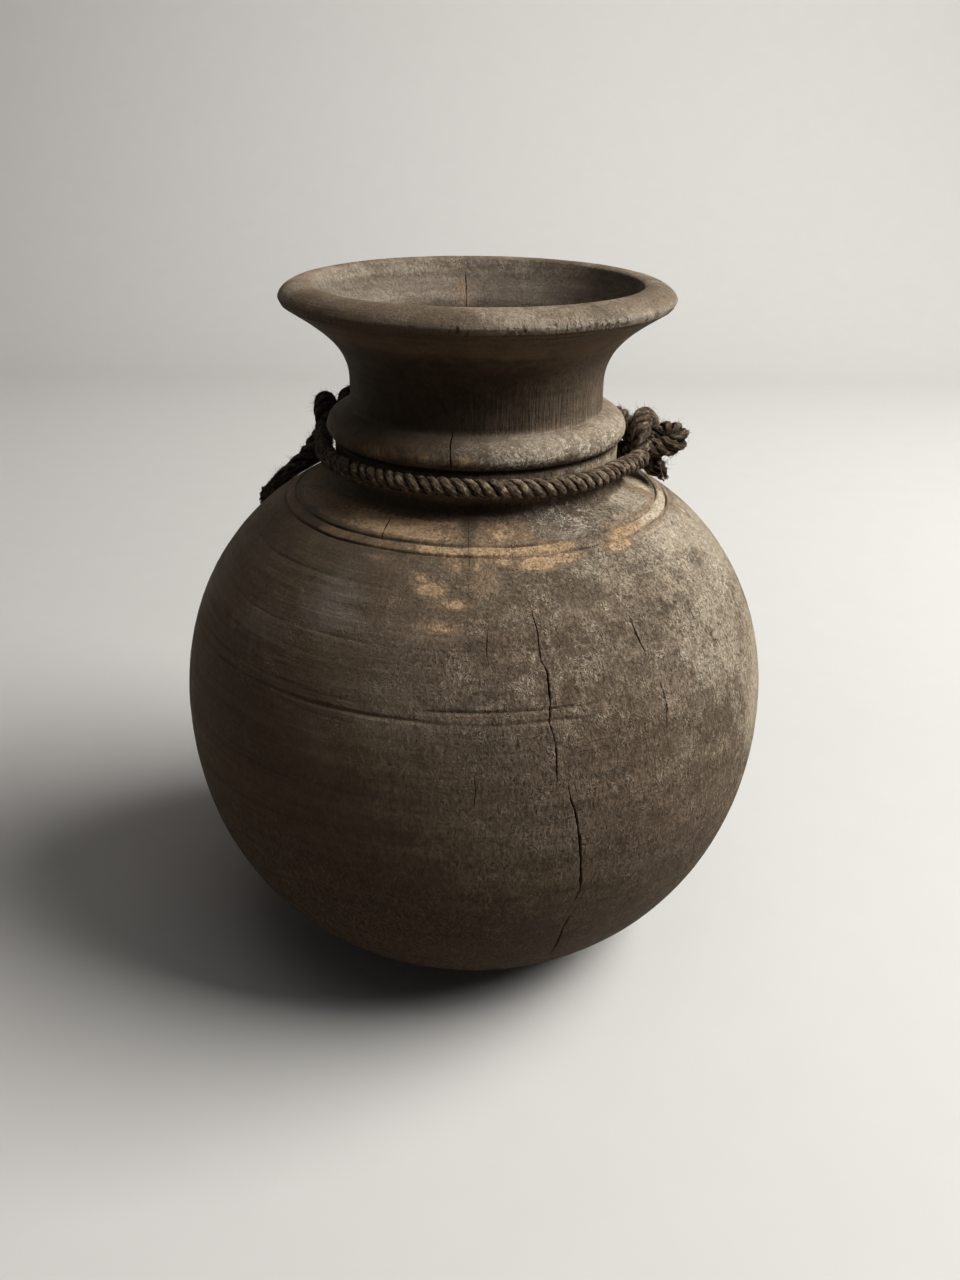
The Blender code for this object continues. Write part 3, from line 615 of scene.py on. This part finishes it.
def on_shoulder(reach, rearward):
    """A route point lying on the shoulder."""
    curve = shoulder_curve(400)
    index = int(np.argmin(abs(curve[:, 0] - RING_RADIUS - reach * ROPE_DIAMETER)))
    run = curve[index + 1] - curve[index - 1]
    outward = unit(np.array([-run[1], run[0]]))
    seat = curve[index] + outward * (ROPE_DIAMETER / 2 + TAIL_LIFT)
    return ((seat[0] - RING_RADIUS) / ROPE_DIAMETER, rearward, (seat[1] - RING_LEVEL) / ROPE_DIAMETER)


def arc_of_ring(start, end, dip=0.0):
    """Ring points between two angles."""
    count = round((start - end) / RING_STEP)
    return [ring(start + (end - start) * k / count, dip) for k in range(count + 1)]


def smooth(points):
    """A smooth curve through the route points."""
    p = np.array(points)
    padded = np.vstack([2 * p[0] - p[1], p, 2 * p[-1] - p[-2]])
    a, b, c, d = (padded[k:len(p) - 1 + k, None] for k in range(4))
    t = np.linspace(0.0, 1.0, 25)[1:, None]
    spans = 0.5 * (2 * b + (c - a) * t + (2 * a - 5 * b + 4 * c - d) * t ** 2
                   + (3 * b - a - 3 * c + d) * t ** 3)
    return np.vstack([p[:1], spans.reshape(-1, 3)])


def front_route():
    """Front rope from its frayed right end, round the front of the neck, to its frayed left end."""
    right = knot_points(RIGHT_HITCH + RIGHT_FRAY, RIGHT_KNOT_TURN, 1)[::-1]
    tail = LEFT_TAIL + tuple(on_shoulder(reach, rearward) for reach, rearward in LEFT_FRAY_SEATS)
    left = knot_points(LEFT_HITCH + tail, LEFT_KNOT_TURN, -1)
    front = arc_of_ring(RIGHT_KNOT_TURN - HITCH_LEAD, LEFT_KNOT_TURN + HITCH_LEAD - math.tau, RIGHT_DIP)
    return smooth(right + front + left)


def rear_route():
    """Rear rope from its left end, round the back of the neck, through the right ear to its hidden end."""
    left = knot_points(LEFT_ROPE_END, LEFT_KNOT_TURN, -1)[::-1]
    right = knot_points(RIGHT_EAR, RIGHT_KNOT_TURN, 1)
    back = arc_of_ring(LEFT_KNOT_TURN - EAR_LEAD, RIGHT_KNOT_TURN + EAR_LEAD)
    return smooth(left + back + right)


# Laid strands, frayed ends and loose fibres
STRANDS, STRAND_SIDES, YARNS = 3, 32, 6
STRAND_RADIUS = ROPE_DIAMETER / 2 / (1 + 2 / math.sqrt(3))
STRAND_OFFSET = ROPE_DIAMETER / 2 - STRAND_RADIUS
LAY_LENGTH, ROPE_STEP, KNOT_FULLNESS = 1.76 * ROPE_DIAMETER, 0.0004, 0.13
RIGHT_FRAYED, LEFT_FRAYED, TAIL_SAG = 0.010, 0.036, 0.0017
# The loose fibres all take one middle level of the painted light on the strands.
HAIR_REACH, YARN_STEPS, YARN_GAP, LOOSE_CREST_LIGHT = 0.0028, 12, 0.0002, 0.55


def frames(path):
    """Two unit normals at each path point, carried along without twist."""
    tangent = unit(np.gradient(path, axis=0))
    normals = [unit(np.cross(tangent[0], [0.0, 0.0, 1.0]))]
    for t in tangent[1:]:
        normals.append(unit(normals[-1] - t * (normals[-1] @ t)))
    normals = np.array(normals)
    return normals, np.cross(tangent, normals)


def tube_faces(tubes, rings, sides):
    """Quads and end caps of tubes whose vertices are listed tube by tube and ring by ring."""
    index = np.arange(tubes * rings * sides).reshape(tubes, rings, sides)
    nxt = np.roll(index, -1, 2)
    quads = np.stack([index[:, :-1], nxt[:, :-1], nxt[:, 1:], index[:, 1:]], -1).reshape(-1, 4)
    return [quads, np.vstack([index[:, 0, ::-1], index[:, -1]])]


def build_rope(name, curve, material, frayed):
    """A three-strand laid rope along a curve; frayed gives the length that comes apart at each end."""
    length = travel(curve)[-1]
    s = np.linspace(0.0, length, round(length / ROPE_STEP))
    path = along(curve, s)
    if frayed[1]:
        path[:, 2] -= TAIL_SAG * (1 - step(0.0, 0.7 * frayed[1], length - s))
    normal, side = frames(path)
    off_ring = np.hypot(np.hypot(path[:, 0], path[:, 1]) - RING_RADIUS, path[:, 2] - RING_LEVEL)
    loosen = 1 + KNOT_FULLNESS * step(0.3 * ROPE_DIAMETER, 0.9 * ROPE_DIAMETER, off_ring)
    taper = loosen.copy()
    shaggy = (1 + 8.0 * (loosen - 1))[:, None]
    rate = np.ones(len(s))
    for fray, distance in zip(frayed, (s, length - s)):
        if fray:
            apart = 1 - step(0.0, fray, distance)
            loosen *= 1 - 0.5 * apart
            taper *= (1 - 0.55 * apart) * np.clip(distance / 0.005, 0.04, 1.0) ** 0.5
            rate *= 1 - 0.85 * apart
        else:
            taper *= 0.25 + 0.75 * np.sqrt(np.clip(distance / 0.0015, 0.0, 1.0))
    turns = np.cumsum(rate) * (s[1] - s[0]) / LAY_LENGTH
    angle = np.linspace(0.0, math.tau, STRAND_SIDES, endpoint=False)
    slope = math.tau * STRAND_OFFSET / LAY_LENGTH
    twist = slope * math.hypot(1, slope) / STRAND_RADIUS
    yarn = YARNS * (angle + 0.7 * twist * s[:, None]) / 2
    ridge = abs(np.cos(yarn)) ** 0.8
    around = vectors(s[:, None], np.cos(angle), np.sin(angle))
    skins, crest, fibre = [], [], []
    for strand in range(STRANDS):
        wander = 0.22 * noise(vectors(s * 90, strand * 9.7, 0.0), 71, 2)
        phase = math.tau * (turns + strand / STRANDS) + wander
        out = np.cos(phase)[:, None] * normal + np.sin(phase)[:, None] * side
        swell = 1 + 0.09 * noise(vectors(s * 150, strand * 5.1, 2.0), 72, 2)
        centre = path + out * (STRAND_OFFSET * loosen)[:, None]
        heading = unit(np.gradient(centre, axis=0))
        e1 = unit(out - heading * np.sum(out * heading, 1, keepdims=True))
        e2 = np.cross(heading, e1)
        rough = noise(around * np.array([800.0, 2.2, 2.2]) + 5.0 * strand, 73, 2)
        tufts = noise(around * np.array([2100.0, 6.5, 6.5]) + 5.0 * strand, 74, 2)
        size = STRAND_RADIUS * (taper * swell)[:, None]
        size = size * (0.85 + 0.16 * ridge + shaggy * (0.07 * rough + 0.05 * tufts))
        skin = (centre[:, None] + e1[:, None] * (size * np.cos(angle))[..., None]
                + e2[:, None] * (size * np.sin(angle))[..., None])
        away = np.linalg.norm(skin - path[:, None], axis=2) / loosen[:, None]
        height = (0.5 + 0.45 * ridge + 0.35 * tufts) * (1.22 - 0.22 * shaggy)
        skins.append(skin)
        # Painted light and shade on the strands: near 0 in the gaps between them, where shade falls, up to 1
        # on their outer crests.
        crest.append(step(0.33 * ROPE_DIAMETER, 0.49 * ROPE_DIAMETER, away) * height)
        fibre.append(vectors(s[:, None] + strand, yarn, 0.0))
    rope = new_mesh(name, np.reshape(skins, (-1, 3)), tube_faces(STRANDS, len(s), STRAND_SIDES), material)
    set_attribute(rope.data, "crest", crest)
    set_attribute(rope.data, "fibre", fibre, vector=True)
    return rope, path


def build_hairs(name, rope, path, material, count, seed):
    """Short loose fibres standing off the strands."""
    rng = np.random.default_rng(seed)
    mesh = rope.data
    co = np.empty(len(mesh.vertices) * 3, np.float32)
    mesh.vertices.foreach_get("co", co)
    crest = np.empty(len(mesh.vertices), np.float32)
    mesh.attributes["crest"].data.foreach_get("value", crest)
    root = co.reshape(-1, 3)[rng.choice(np.where(crest > 0.35)[0], count)].astype(float)
    near = np.array([np.argmin(np.sum((path - p) ** 2, 1)) for p in root])
    heading = unit(np.gradient(path, axis=0)[near])
    out = unit(root - path[near])
    lean = heading * rng.choice([-1.0, 1.0], (count, 1)) * rng.uniform(0.3, 1.4, (count, 1))
    way = unit(out * rng.uniform(0.25, 1.0, (count, 1)) + lean + rng.normal(0, 0.35, (count, 3)))
    bend = rng.normal(0, 0.45, (count, 3)) - np.array([0.0, 0.0, 0.15])
    long = HAIR_REACH * rng.uniform(0.35, 1.0, (count, 1)) ** 1.6
    t = np.linspace(0.0, 1.0, 5)
    line = root[:, None] + long[:, None] * (way[:, None] * t[:, None] + bend[:, None] * t[:, None] ** 2)
    thick = rng.uniform(0.00004, 0.00009, (count, 1)) * (1 - 0.75 * t)
    return loose_tubes(name, line, thick, 3, material)


def loose_tubes(name, line, thick, sides, material):
    """Thin round strands: centre lines of shape (n, m, 3) with radii of shape (n, m)."""
    count, steps = thick.shape
    heading = unit(np.gradient(line, axis=1))
    first = unit(np.cross(heading, np.array([0.31, 0.52, 0.80])))
    second = np.cross(heading, first)
    angle = np.linspace(0.0, math.tau, sides, endpoint=False)
    skin = (line[:, :, None] + thick[:, :, None, None] * (np.cos(angle)[:, None] * first[:, :, None]
            + np.sin(angle)[:, None] * second[:, :, None]))
    obj = new_mesh(name, skin.reshape(-1, 3), tube_faces(count, steps, sides), material)
    set_attribute(obj.data, "crest", np.full(skin.shape[:3], LOOSE_CREST_LIGHT))
    lay = np.linspace(0, 0.02, steps)[:, None] + np.arange(count)[:, None, None]
    set_attribute(obj.data, "fibre", vectors(lay, angle, 0.0), vector=True)
    return obj


def above_pot(points, gap):
    """Points lifted clear of the shoulder and upper belly."""
    curve = shoulder_curve(400)
    reach = np.hypot(points[..., 0], points[..., 1])
    crown = RIDGE_RISE * bump(travel(curve), RIDGE_PLACE, RIDGE_HALF)
    floor = np.interp(reach, curve[:, 0], curve[:, 1] + crown) + gap
    lifted = points.copy()
    lifted[..., 2] = np.where(reach < BELLY_RADIUS - 0.001, np.maximum(points[..., 2], floor), points[..., 2])
    return lifted


def build_tassel(name, path, material, count, fray, beyond, spread, droop, seed):
    """Yarns that come apart along the last stretch of a rope and end near its end."""
    rng = np.random.default_rng(seed)

    def draw(low, high):
        """One random number for each yarn."""
        return rng.uniform(low, high, (count, 1))

    heading = unit(path[-1] - path[-8])
    length = travel(path)[-1]
    more = np.vstack([path, path[-1] + 2 * beyond * heading])
    start = length - fray * draw(0.05, 1.0)
    end = length + beyond * draw(-0.5, 1.0)
    t = np.linspace(0.0, 1.0, YARN_STEPS)
    s = start + (end - start) * t
    base = along(more, s.ravel()).reshape(count, YARN_STEPS, 3)
    first = unit(np.cross(heading, [0.0, 0.0, 1.0]))
    second = np.cross(first, heading)
    angle = draw(0, math.tau) + draw(-0.8, 0.8) * t
    off = ROPE_DIAMETER * (0.34 - 0.21 * t + spread * t * draw(0.0, 1.0))
    off *= np.sqrt(draw(0.1, 1.0))
    off += 0.00035 * np.sin(t * draw(5, 12) + draw(0, 6))
    line = base + (off * np.cos(angle))[..., None] * first + (off * np.sin(angle))[..., None] * second
    line[..., 2] -= droop * (1 - (1 - t) ** 3) * draw(0.0, 1.0)
    thick = draw(0.00024, 0.00056) * (1 - 0.5 * t ** 2)
    return loose_tubes(name, above_pot(line, thick + YARN_GAP), thick, 6, material)


def declare_rope(rope, pieces, nodes):
    """Attach a rope and its loose pieces to the collar, and hide the solid parts that it stands for."""
    for piece in [rope, *pieces]:
        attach(piece, "rope_collar")
    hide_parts(*nodes)


# Materials
class Nodes:
    """Short hand for building the node tree of a material or a world."""

    def __init__(self, owner, shader="Principled BSDF"):
        owner.use_nodes = True
        self.owner, self.tree = owner, owner.node_tree
        self.shader = self.tree.nodes[shader]

    def put(self, socket, value):
        """Link a socket or set its value; a colour gets full alpha."""
        if isinstance(value, bpy.types.NodeSocket):
            self.tree.links.new(value, socket)
        else:
            socket.default_value = (*value, 1.0) if socket.type == "RGBA" else value

    def add(self, kind, inputs=(), **settings):
        """A node with its settings and inputs by name or number."""
        item = self.tree.nodes.new("ShaderNode" + kind)
        for key, value in settings.items():
            setattr(item, key, value)
        for key, value in dict(inputs).items():
            self.put(item.inputs[key], value)
        return item

    def surface(self, inputs):
        """Set or link the shader's own inputs."""
        for key, value in inputs.items():
            self.put(self.shader.inputs[key], value)

    def attribute(self, name):
        return self.add("Attribute", attribute_name=name).outputs["Fac"]

    def math(self, operation, first, *others):
        """One value from two or more, taken in turn."""
        for other in others or (0.0,):
            first = self.add("Math", {0: first, 1: other}, operation=operation).outputs[0]
        return first

    def times(self, *values):
        return self.math("MULTIPLY", *values)

    def total(self, *values):
        return self.math("ADD", *values)

    def most(self, *values):
        return self.math("MAXIMUM", *values)

    def around(self, value, weight):
        """A noise as a signed amount."""
        return self.times(self.math("SUBTRACT", value, 0.5), weight)

    def noise(self, vector, scale, detail, roughness, distortion=0.0):
        inputs = {"Vector": vector, "Scale": scale, "Detail": detail, "Roughness": roughness,
                  "Distortion": distortion}
        return self.add("TexNoise", inputs).outputs["Fac"]

    def stretched(self, vector, scale):
        return self.add("Mapping", {"Vector": vector, "Scale": scale}).outputs[0]

    def range(self, value, low, high, to_low=0.0, to_high=1.0):
        inputs = {0: value, 1: low, 2: high, 3: to_low, 4: to_high}
        return self.add("MapRange", inputs, interpolation_type="SMOOTHSTEP").outputs[0]

    def mix(self, share, a, b, blend="MIX"):
        return self.add("Mix", {0: share, 6: a, 7: b}, data_type="RGBA", blend_type=blend).outputs[2]

    def bump(self, distance, height):
        return self.add("Bump", {"Strength": 1.0, "Distance": distance, "Height": height}).outputs[0]


# Colours of the wood
PATINA, PATINA_PALE, PATINA_GREY = (0.165, 0.120, 0.080), (0.255, 0.196, 0.140), (0.195, 0.152, 0.110)
# The umber is partly the wood's own darker colour, partly painted shade; the paler grey is partly a sooty
# bloom, partly a painted sheen.
UMBER, SMOKE_AND_SHEEN = (0.092, 0.059, 0.034), (0.255, 0.220, 0.180)
BLEMISH, FLAKED = (0.125, 0.095, 0.067), (0.370, 0.302, 0.228)
# The first colour here is the pale deposit, which also carries painted light on the lit side.
DUST_AND_LIGHT, SALT, STAIN = (0.605, 0.515, 0.388), (0.720, 0.655, 0.550), (0.140, 0.105, 0.073)
TAN, TAN_PALE = (0.265, 0.178, 0.106), (0.390, 0.275, 0.174)
# The last of these, the pale cream, is partly a painted highlight.
BARE, BARE_PALE, BARE_DUSTY_LIT = (0.460, 0.298, 0.165), (0.670, 0.480, 0.295), (0.800, 0.700, 0.530)
CHIP, SLIT, PIT = (0.060, 0.043, 0.030), (0.050, 0.036, 0.025), (0.045, 0.031, 0.021)
# The first of these, the darkest colour, stands for dirt in the lines and for painted shade.
GRIME_AND_SHADE, CRACK = (0.034, 0.024, 0.016), (0.008, 0.006, 0.004)


def old_wood():
    """Dark patina over tan wood: mottled leathery skin, a pale powdery deposit, stains, dirt in the lines and
    bare worn places, with painted light on the side facing the key light and painted shade under the rope, in
    the mouth and on the shaded side.
    """
    n = Nodes(bpy.data.materials.new("old_wood_patina"))
    where = n.add("TexCoord").outputs["Object"]
    names = ("wear", "dust_and_light", "grime_and_shade", "umber_and_shade", "crack", "comb", "stain", "haze_and_sheen", "salt", "calm", "nicks")
    wear, dust_and_light, grime_and_shade, umber_and_shade, crack, comb, stain, haze_and_sheen, salt, calm, nicks = map(n.attribute, names)
    lively = n.math("SUBTRACT", 1.0, calm)

    def texture(across, up, *settings):
        """A noise that is drawn out across or up the pot, the further the smaller the number."""
        return n.noise(n.stretched(where, (across, across, up)), *settings)

    def hairline(up, scale, distortion, width):
        """Thin wandering lines, 1 along their middle."""
        wave = texture(1.0, up, scale, 2.0, 0.55, distortion)
        return n.range(n.math("ABSOLUTE", n.math("SUBTRACT", wave, 0.5)), 0.0, width, 1.0, 0.0)

    def rough(value, weight):
        """A noise as a signed amount, quiet on the calm skin."""
        return n.times(n.around(value, weight), lively)

    grain = texture(1.0, 0.10, 900, 3, 0.6)
    fine = texture(1.0, 0.45, 950, 4, 0.64)
    streak = texture(0.05, 1.0, 700, 3, 0.6)
    bands = texture(0.06, 1.0, 150, 4, 0.6)
    mottle = n.noise(where, 150, 5, 0.62, 0.6)
    flake = texture(0.26, 1.0, 250, 5, 0.62, 0.6)
    blotch = n.noise(where, 34, 5, 0.62, 0.5)
    broad = n.noise(where, 11, 3, 0.5, 0.3)
    speck = texture(1.0, 0.55, 1100, 2, 0.5)
    glint = texture(0.6, 1.0, 850, 4, 0.7, 0.8)
    skin = texture(0.5, 1.0, 62, 6, 0.60, 0.9)
    teeth = texture(1.0, 0.06, 1400, 3, 0.6)
    slit = hairline(0.36, 620, 1.1, 0.035)
    vein = hairline(0.7, 330, 1.2, 0.035)
    scratch = hairline(1.0, 120, 1.8, 0.010)
    scuff = n.times(hairline(0.5, 95, 2.6, 0.006), n.range(blotch, 0.50, 0.58))
    crackle = n.times(hairline(0.55, 430, 1.6, 0.06), n.range(mottle, 0.42, 0.60))
    patchy = n.range(mottle, 0.44, 0.58)
    bite = n.times(nicks, n.range(texture(1.0, 0.25, 680.0, 3.0, 0.6), 0.50, 0.62), patchy)

    tone = n.mix(n.range(blotch, 0.34, 0.68), PATINA, PATINA_PALE)
    tone = n.mix(n.range(broad, 0.35, 0.68, 0.0, 0.5), tone, PATINA_GREY)
    # Darker umber towards the foot and on the left: partly the wood's own colour, partly painted shade.
    tone = n.mix(n.times(umber_and_shade, 0.75), tone, UMBER)
    # Paler grey patches: partly a sooty bloom, partly a painted sheen.
    smoky_sheen = n.total(haze_and_sheen, n.around(mottle, 0.6), n.around(bands, 0.6))
    tone = n.mix(n.range(smoky_sheen, 0.3, 0.95, 0.0, 0.75), tone, SMOKE_AND_SHEEN)
    shade = n.total(0.5, rough(fine, 1.0), rough(mottle, 0.6), n.around(bands, 0.55),
                    n.times(n.around(streak, 0.45), calm))
    tone = n.mix(1.0, tone, n.range(shade, 0.12, 0.88, 0.40, 1.62), "MULTIPLY")
    tone = n.mix(n.range(skin, 0.50, 0.59, 0.0, 0.4), tone, BLEMISH)
    tone = n.mix(n.times(crackle, lively, 0.6), tone, FLAKED)
    tone = n.mix(comb, tone, n.mix(1.0, tone, n.range(teeth, 0.3, 0.7, 0.66, 1.30), "MULTIPLY"))

    # Pale powdery deposit, partly real and partly painted light on the side that faces the key light, the
    # bead's top and the far shoulder.
    dusty_and_lit = n.total(dust_and_light, rough(mottle, 0.9), rough(fine, 0.75), rough(blotch, 0.6), n.around(skin, -0.5),
                    n.times(crackle, lively, 0.45))
    film_and_light = n.range(dusty_and_lit, 0.34, 1.08, 0.0, 0.88)
    tone = n.mix(film_and_light, tone, DUST_AND_LIGHT)

    worn = n.total(wear, n.around(flake, 0.85), n.around(grain, 0.35), n.around(blotch, 0.3))
    fibres = n.range(grain, 0.3, 0.7)
    tone = n.mix(n.range(worn, 0.34, 0.60, 0.0, 0.72), tone, n.mix(fibres, TAN, TAN_PALE))
    # Bare worn wood turns pale cream where the pale deposit is heavy: partly real, partly a painted highlight
    # at the lit right end of the ridge.
    wood = n.mix(n.range(dust_and_light, 0.35, 0.8, 0.0, 0.8), n.mix(fibres, BARE, BARE_PALE), BARE_DUSTY_LIT)
    tone = n.mix(n.range(worn, 0.70, 0.86, 0.0, 0.92), tone, wood)
    soaked = n.total(stain, n.around(flake, 0.7), n.around(grain, 0.3))
    tone = n.mix(n.range(soaked, 0.34, 0.66, 0.0, 0.75), tone, STAIN)

    lines = n.most(n.times(n.most(vein, scratch), patchy), n.range(glint, 0.54, 0.61))
    pale = n.most(
        n.times(n.range(speck, 0.67, 0.76), n.total(n.times(dust_and_light, 0.3), 0.05)),
        n.times(lines, salt),
        n.times(scuff, n.range(dust_and_light, 0.2, 0.7, 0.0, 0.7)),
        n.times(n.math("SUBTRACT", nicks, bite), 0.45),
    )
    tone = n.mix(pale, tone, SALT)
    tone = n.mix(n.times(bite, 0.32), tone, CHIP)
    tone = n.mix(n.times(slit, lively, n.range(mottle, 0.42, 0.56, 0.0, 0.7)), tone, SLIT)
    tone = n.mix(n.range(speck, 0.24, 0.36, 0.5, 0.0), tone, PIT)
    # Dirt in the lines and painted shade: the rope's shadow, the bead's notch, the neck and the inside of the
    # mouth.
    tone = n.mix(n.range(n.total(grime_and_shade, n.around(mottle, 0.6)), 0.3, 0.95, 0.0, 0.88), tone, GRIME_AND_SHADE)
    tone = n.mix(n.range(crack, 0.15, 0.8), tone, CRACK)
    height = n.total(rough(fine, 0.5), n.times(streak, 0.25), rough(mottle, 0.36), rough(slit, -0.30),
                     rough(crackle, 0.22), n.times(bands, 0.5), n.times(bite, -0.4),
                     n.times(comb, teeth, 0.8))
    n.surface({
        "Base Color": tone,
        "Roughness": n.total(n.range(blotch, 0.3, 0.7, 0.62, 0.74), n.times(film_and_light, 0.2)),
        "Specular IOR Level": 0.08,
        "Normal": n.bump(0.0013, height),
    })
    return n.owner


def rope_fibre():
    """Dark, dry natural fibre with fine threads along the yarns; the paler crests and near-black gaps between
    the strands are painted light and shade.
    """
    n = Nodes(bpy.data.materials.new("rope_fibre_dark"))
    where = n.add("TexCoord").outputs["Object"]
    lay = n.add("Attribute", attribute_name="fibre").outputs["Vector"]
    thread = n.noise(n.stretched(lay, (260.0, 1.2, 1.0)), 1.0, 5.0, 0.68)
    mottle = n.noise(where, 420.0, 4.0, 0.62, 0.4)
    # Painted shade near black in the gaps between strands, painted light on the crests, with pale painted
    # highlight flecks.
    high = n.range(n.total(n.attribute("crest"), n.around(thread, 2.2)), 0.15, 1.0)
    tone = n.mix(high, (0.013, 0.008, 0.005), (0.212, 0.150, 0.098))
    tone = n.mix(n.times(n.range(mottle, 0.49, 0.64, 0.0, 0.9), high), tone, (0.500, 0.405, 0.290))
    tone = n.mix(n.range(mottle, 0.30, 0.47, 0.75, 0.0), tone, (0.022, 0.015, 0.010))
    n.surface({
        "Base Color": tone, "Roughness": 0.88, "Specular IOR Level": 0.12,
        "Sheen Weight": 0.05, "Sheen Roughness": 0.5,
        "Normal": n.bump(0.0009, n.total(n.times(thread, 0.8), n.times(mottle, 0.4))),
    })
    return n.owner


def seen(n):
    """1 for rays that show a surface, straight or by reflection, and 0 for light bounced off it."""
    path = n.add("LightPath").outputs
    return n.most(path["Is Camera Ray"], path["Is Glossy Ray"], path["Is Transmission Ray"])


PALE_SURROUND, DIM_SURROUND = (0.66, 0.66, 0.64), (0.021, 0.022, 0.023)
PAPER, PAPER_PALE = (0.745, 0.740, 0.722), (0.775, 0.770, 0.752)
BROWN_FLOOR, BLACK = (0.12, 0.09, 0.065), (0.0, 0.0, 0.0)


def studio_paper():
    """Plain pale matt paper for the floor and backdrop, which bounces as little light as a brown floor."""
    n = Nodes(bpy.data.materials.new("studio_paper"))
    where = n.add("TexCoord").outputs["Object"]
    pale = n.mix(n.noise(where, 40.0, 3.0, 0.5), PAPER, PAPER_PALE)
    place = n.add("SeparateXYZ", {0: where}).outputs
    far = n.range(n.most(n.math("ABSOLUTE", place[0]), n.times(place[1], -1.0)), 0.8, 1.7)
    shown = seen(n)
    n.surface({
        "Base Color": n.mix(shown, BROWN_FLOOR, n.mix(far, pale, BLACK)),
        "Emission Color": PALE_SURROUND, "Emission Strength": n.times(shown, far),
        "Roughness": 0.9, "Specular IOR Level": 0.2,
    })
    return n.owner


# Stage, light and camera
def build_stage():
    """A pale paper floor that curves up into a backdrop."""
    bend = arc((1.0, 0.5), 0.5, 0.5, -90, 0, 25)
    line = np.vstack([[(-3.0, 0.0)], bend, [(1.5, 3.0)]])
    grid = vectors(np.linspace(-3.5, 3.5, 9)[:, None], line[:, 0], line[:, 1])
    index = np.arange(grid.shape[0] * grid.shape[1]).reshape(grid.shape[:2])
    quads = np.stack([index[:-1, :-1], index[1:, :-1], index[1:, 1:], index[:-1, 1:]], -1).reshape(-1, 4)
    new_mesh("paper_sweep", grid.reshape(-1, 3), [quads], studio_paper())


def place_object(name, data, x, y, z, place):
    """A new object in the scene, by its three axes and its position."""
    obj = bpy.data.objects.new(name, data)
    obj.matrix_world = Matrix([*np.stack([x, y, z, place], 1).tolist(), [0.0, 0.0, 0.0, 1.0]])
    bpy.context.scene.collection.objects.link(obj)
    return obj


def add_light(name, place, target, width, height, power, colour):
    """A soft rectangular light."""
    data = bpy.data.lights.new(name, "AREA")
    data.shape = "RECTANGLE"
    data.size, data.size_y = width, height
    data.energy = power
    data.color = colour
    back = unit(np.array(place) - np.array(target))
    right = unit(np.cross([0.0, 0.0, 1.0], back))
    place_object(name, data, right, np.cross(back, right), back, place)


def build_light():
    """Window-like soft light from the right, a weak fill, and a pale surround."""
    add_light("key_right", (1.06, -0.13, 1.23), (0.0, 0.0, 0.13), 1.2, 0.7, 33.0, (1.0, 0.975, 0.94))
    add_light("overhead", (0.05, -0.35, 1.5), (0.0, 0.0, 0.13), 1.0, 1.0, 2.0, (1.0, 0.98, 0.95))
    add_light("backdrop_glow", (0.3, 0.5, 1.2), (0.3, 1.5, 0.9), 1.4, 0.5, 8.0, (1.0, 0.99, 0.97))
    n = Nodes(bpy.data.worlds.new("studio"), "Background")
    bpy.context.scene.world = n.owner
    n.surface({"Color": n.mix(seen(n), DIM_SURROUND, PALE_SURROUND), "Strength": 1.0})


CAMERA_PLACE = (0.0, -0.4265, 0.3157)
CAMERA_PITCH, CAMERA_YAW, CAMERA_ROLL = math.radians(24.73), math.radians(0.29), math.radians(0.68)
CAMERA_LENS = 33.75


def build_camera():
    """The photograph's viewpoint."""
    p, y, r = CAMERA_PITCH, CAMERA_YAW, CAMERA_ROLL
    forward = np.array([math.sin(y) * math.cos(p), math.cos(y) * math.cos(p), -math.sin(p)])
    level = np.array([math.cos(y), -math.sin(y), 0.0])
    upright = np.cross(level, forward)
    right = math.cos(r) * level + math.sin(r) * upright
    up = -math.sin(r) * level + math.cos(r) * upright
    data = bpy.data.cameras.new("photo_camera")
    data.lens = CAMERA_LENS
    data.sensor_fit = "AUTO"
    data.sensor_width = 36.0
    data.clip_start = 0.01
    bpy.context.scene.camera = place_object("photo_camera", data, right, up, -forward, CAMERA_PLACE)


build_camera()
build_pot(old_wood())
fibre = rope_fibre()

front = front_route()
front_rope, front_path = build_rope("front_rope_strands", front, fibre, (RIGHT_FRAYED, LEFT_FRAYED))
front_hairs = build_hairs("front_rope_hairs", front_rope, front_path, fibre, count=4200, seed=5)
right_tassel = build_tassel("right_tassel", front_path[::-1], fibre, count=26, fray=RIGHT_FRAYED,
                            beyond=0.0026, spread=0.10, droop=0.0, seed=7)
left_tassel = build_tassel("left_tassel", front_path, fibre, count=80, fray=LEFT_FRAYED,
                           beyond=0.0004, spread=0.05, droop=0.0040, seed=8)
left_yarns = build_tassel("left_yarns", front_path, fibre, count=90, fray=0.050,
                          beyond=-0.003, spread=0.05, droop=0.0160, seed=9)
declare_rope(front_rope, [front_hairs, right_tassel, left_tassel, left_yarns],
             ["front_rope", "right_hitch", "right_frayed_end", "left_hitch", "left_tail", "left_frayed_end"])

rear = rear_route()
rear_rope, rear_path = build_rope("rear_rope_strands", rear, fibre, (0.0, 0.0))
rear_hairs = build_hairs("rear_rope_hairs", rear_rope, rear_path, fibre, count=2800, seed=6)
declare_rope(rear_rope, [rear_hairs], ["rear_rope", "right_ear", "left_rope_end"])

build_stage()
build_light()
bpy.context.scene.view_settings.view_transform = "Standard"
